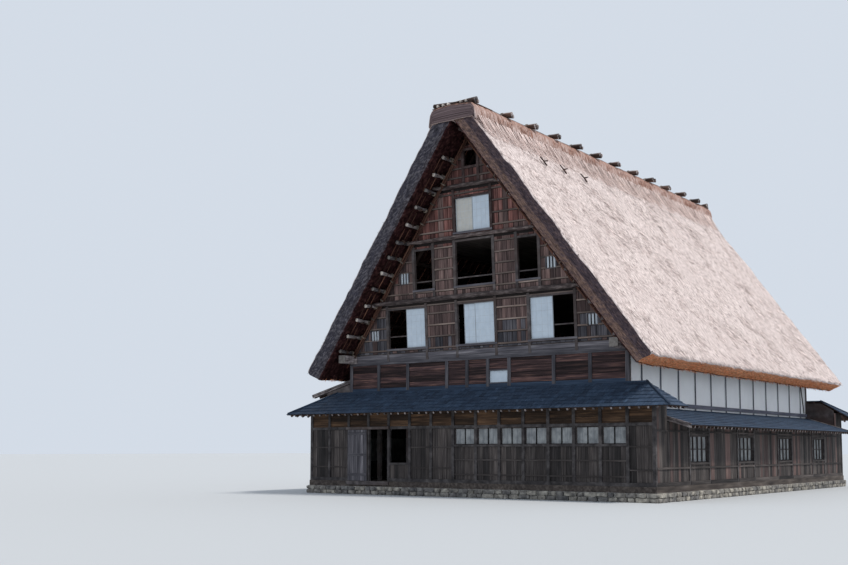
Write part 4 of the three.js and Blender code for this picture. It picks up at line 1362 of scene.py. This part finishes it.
def side_siding(side):
    """Vertical boards, battens and windows of the long ground storey walls."""
    wall = Wall(150, SIDES[side], 0)
    random = wall.random
    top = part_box(side + "_ground_wall")[1].z
    end = GABLE_Y + AISLE - 0.10
    sill, head = SIDE_WINDOW
    wide = SIDE_WINDOW_HALF + POST
    holes = [(y - wide, y + wide, *SIDE_GAP) for y in SIDE_WINDOW_Y]
    middles = [y + s * SIDE_POST for y in SIDE_WINDOW_Y for s in (-1, 1)]
    posts = [(y - POST / 2, y + POST / 2, 0, 9) for y in middles]
    for x0, x1 in cuts(-end, end, 0.21, random):
        high = top - 0.004 if max(abs(x0), abs(x1)) < GABLE_Y else 3.35
        board = rectangle(x0 + 0.003, x1 - 0.003, DECK_TOP + 0.13, high)
        tint = random.uniform(0, 1)
        proud = random.uniform(0.008, 0.020)
        for part in around(board, holes + posts):
            paint, shade = (BROWN_BOARD, 0.4) if random.uniform() < 0.2 else (GROUND_BOARD, 1)
            wall.panel(part, (SIDE_FACE - 0.01, SIDE_FACE + proud), tint * shade, paint)
    for z in (DECK_TOP + 0.002, 1.05, 2.26):
        for part in around(rectangle(-end, end, z, z + (0.128 if z < 1 else 0.06)), posts):
            wall.panel(part, (SIDE_FACE, SIDE_FACE + 0.05))
    face = SIDE_FACE - 0.035
    thin = 0.03
    for y in SIDE_WINDOW_Y:
        x0 = y - SIDE_WINDOW_HALF
        x1 = y + SIDE_WINDOW_HALF
        for x in np.linspace(x0, x1 - thin, 5):
            wall.bar(x, x + thin, sill, head, (face - 0.05, face), 0.5, DARK_FRAME)
        for z in np.linspace(sill, head - thin, 3):
            wall.bar(x0, x1, z, z + thin, (face - 0.05, face - 0.004), 0.5, DARK_FRAME)
        for z in (sill - SIDE_RAIL, head):
            wall.bar(x0, x1, z, z + SIDE_RAIL, (face - 0.02, SIDE_FACE + 0.045), 0.5)
    return wall.finish(side + "_ground_boards", [GROUND_BOARD, BROWN_BOARD, DARK_FRAME], "wall_boards")


# Footing and hooks
STONE_COURSES = ((0.003, 0.15), (0.153, 0.294))


def footing_stones():
    """Two rough courses of field stones on the faces of the footing."""
    pile = Pile(160)
    random = pile.random
    _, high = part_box("stone_footing")
    parts = (4, 3, 2)
    cells, faces, _ = skin(parts)
    faces = [face[::-1] for face in faces]
    share = cells / np.array(parts) * 2 - 1
    ball = share / np.linalg.norm(share, ord=4, axis=1)[:, None]
    shape = 0.35 * share + 0.65 * ball * 0.95
    for turn in range(4):
        distance = high.y if turn % 2 == 0 else high.x
        reach = high.x if turn % 2 == 0 else high.y
        at = facade(turn, 0)
        for z0, z1 in STONE_COURSES:
            for x0, x1 in cuts(-reach - 0.04, reach + 0.04, 0.36, random, 0.3):
                half = np.array(((x1 - x0) / 2 - 0.004, (z1 - z0) / 2, 0.075))
                centre = np.array(((x0 + x1) / 2, (z0 + z1) / 2, random.uniform(-0.015, 0.01)))
                local = shape * half + centre
                local += 0.012 * triples(*(waves(local + 10 * centre[0], 0.2, s, 6) for s in (1, 2, 3)))
                local[:, 1] = np.clip(local[:, 1], 0.002, 0.297)
                points = np.array([at(x, distance + out, z) for x, z, out in local])
                pile.add(points, faces, points + pile.offset())
    return pile.finish("footing_stones", [STONES], "stone")


HOOK_Z = 12.40
HOOK_YS = (-7.41, -5.91, -4.26)


def slope_hooks():
    """Small wooden hooks on the slopes near the ridge."""
    pile = Pile(170)
    for side in (-1, 1):
        normal, down = slope_axes(side)
        for y in HOOK_YS:
            base = np.array((side * slope_x(HOOK_Z, 0), y, HOOK_Z))
            fork = base + normal * 0.07
            rod(pile, [base - down * 0.24 + normal * 0.06, fork + down * 0.02], 0.026, 6)
            rod(pile, [fork, base + down * 0.22 + normal * 0.06], 0.030, 6)
            rod(pile, [fork, base - down * 0.02 + normal * 0.14 + np.array((0, 0.20, 0))], 0.026, 6)
    return pile.finish("slope_hooks", [LOG], "log_timber")


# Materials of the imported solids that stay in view
def dress_nodes():
    by_slot = {
        "wall_boards": GREY_FRAME,
        "weathered_wood": GREY_FRAME,
        "floor_boards": FLOOR_WOOD,
        "log_timber": GREY_FRAME,
        "plaster": PLASTER,
        "shoji_paper": PAPER,
        "stone": STONE,
    }
    slots = {part["node"]: part["material_slot"] for part in frame["record"]["subparts"]}
    for name, node in frame["nodes"].items():
        material = by_slot.get(slots[name])
        if name.endswith("_ground_sashes"):
            material = PANE
        if name.endswith(("gable_wall_4", "gable_wall_5")):
            material = BROWN_FRAME
        if name.startswith("front_wall") or name.endswith("ground_wall"):
            material = GROUND_FRAME
        if material:
            node.data.materials.clear()
            node.data.materials.append(material)


# Studio
def add_floor():
    data = bpy.data.meshes.new("studio_floor")
    half = 400.0
    data.from_pydata([(x, y, 0) for x, y in rectangle(-half, half, -half, half)], [], [(0, 1, 2, 3)])
    floor = add_object("studio_floor", data)
    paint = Paint("studio_floor", 0.95, grain=False)
    paint.shader.inputs["Base Color"].default_value = (0.47, 0.485, 0.50, 1)
    data.materials.append(paint.material)


def add_light():
    world = bpy.data.worlds.new("studio")
    world.use_nodes = True
    background = world.node_tree.nodes["Background"]
    background.inputs["Color"].default_value = (0.82, 0.895, 1.0, 1)
    background.inputs["Strength"].default_value = 0.80
    bpy.context.scene.world = world
    sun = bpy.data.lights.new("key", "SUN")
    sun.energy = 2.7
    sun.angle = math.radians(7)
    sun.color = (1.0, 0.965, 0.91)
    key = add_object("key", sun)
    key.rotation_euler = (math.radians(-5), math.radians(32), 0)
    bpy.context.scene.view_settings.view_transform = "Standard"


add_camera()
add_light()
add_floor()
dress_nodes()
for slope in (-1, 1):
    thatch_slope(slope)
    roof_frame(slope)
ridge_cap()
ridge_weights()
ridge_end_poles()
for gable in ENDS:
    gable_siding(gable)
    gable_girts(gable)
    gable_shoji(gable)
    mezzanine_siding(gable)
    ground_siding(gable)
    end_skirt(gable)
for flank in SIDES:
    side_roof(flank)
    eave_wall_timber(flank)
    side_siding(flank)
door_boards()
footing_stones()
slope_hooks()
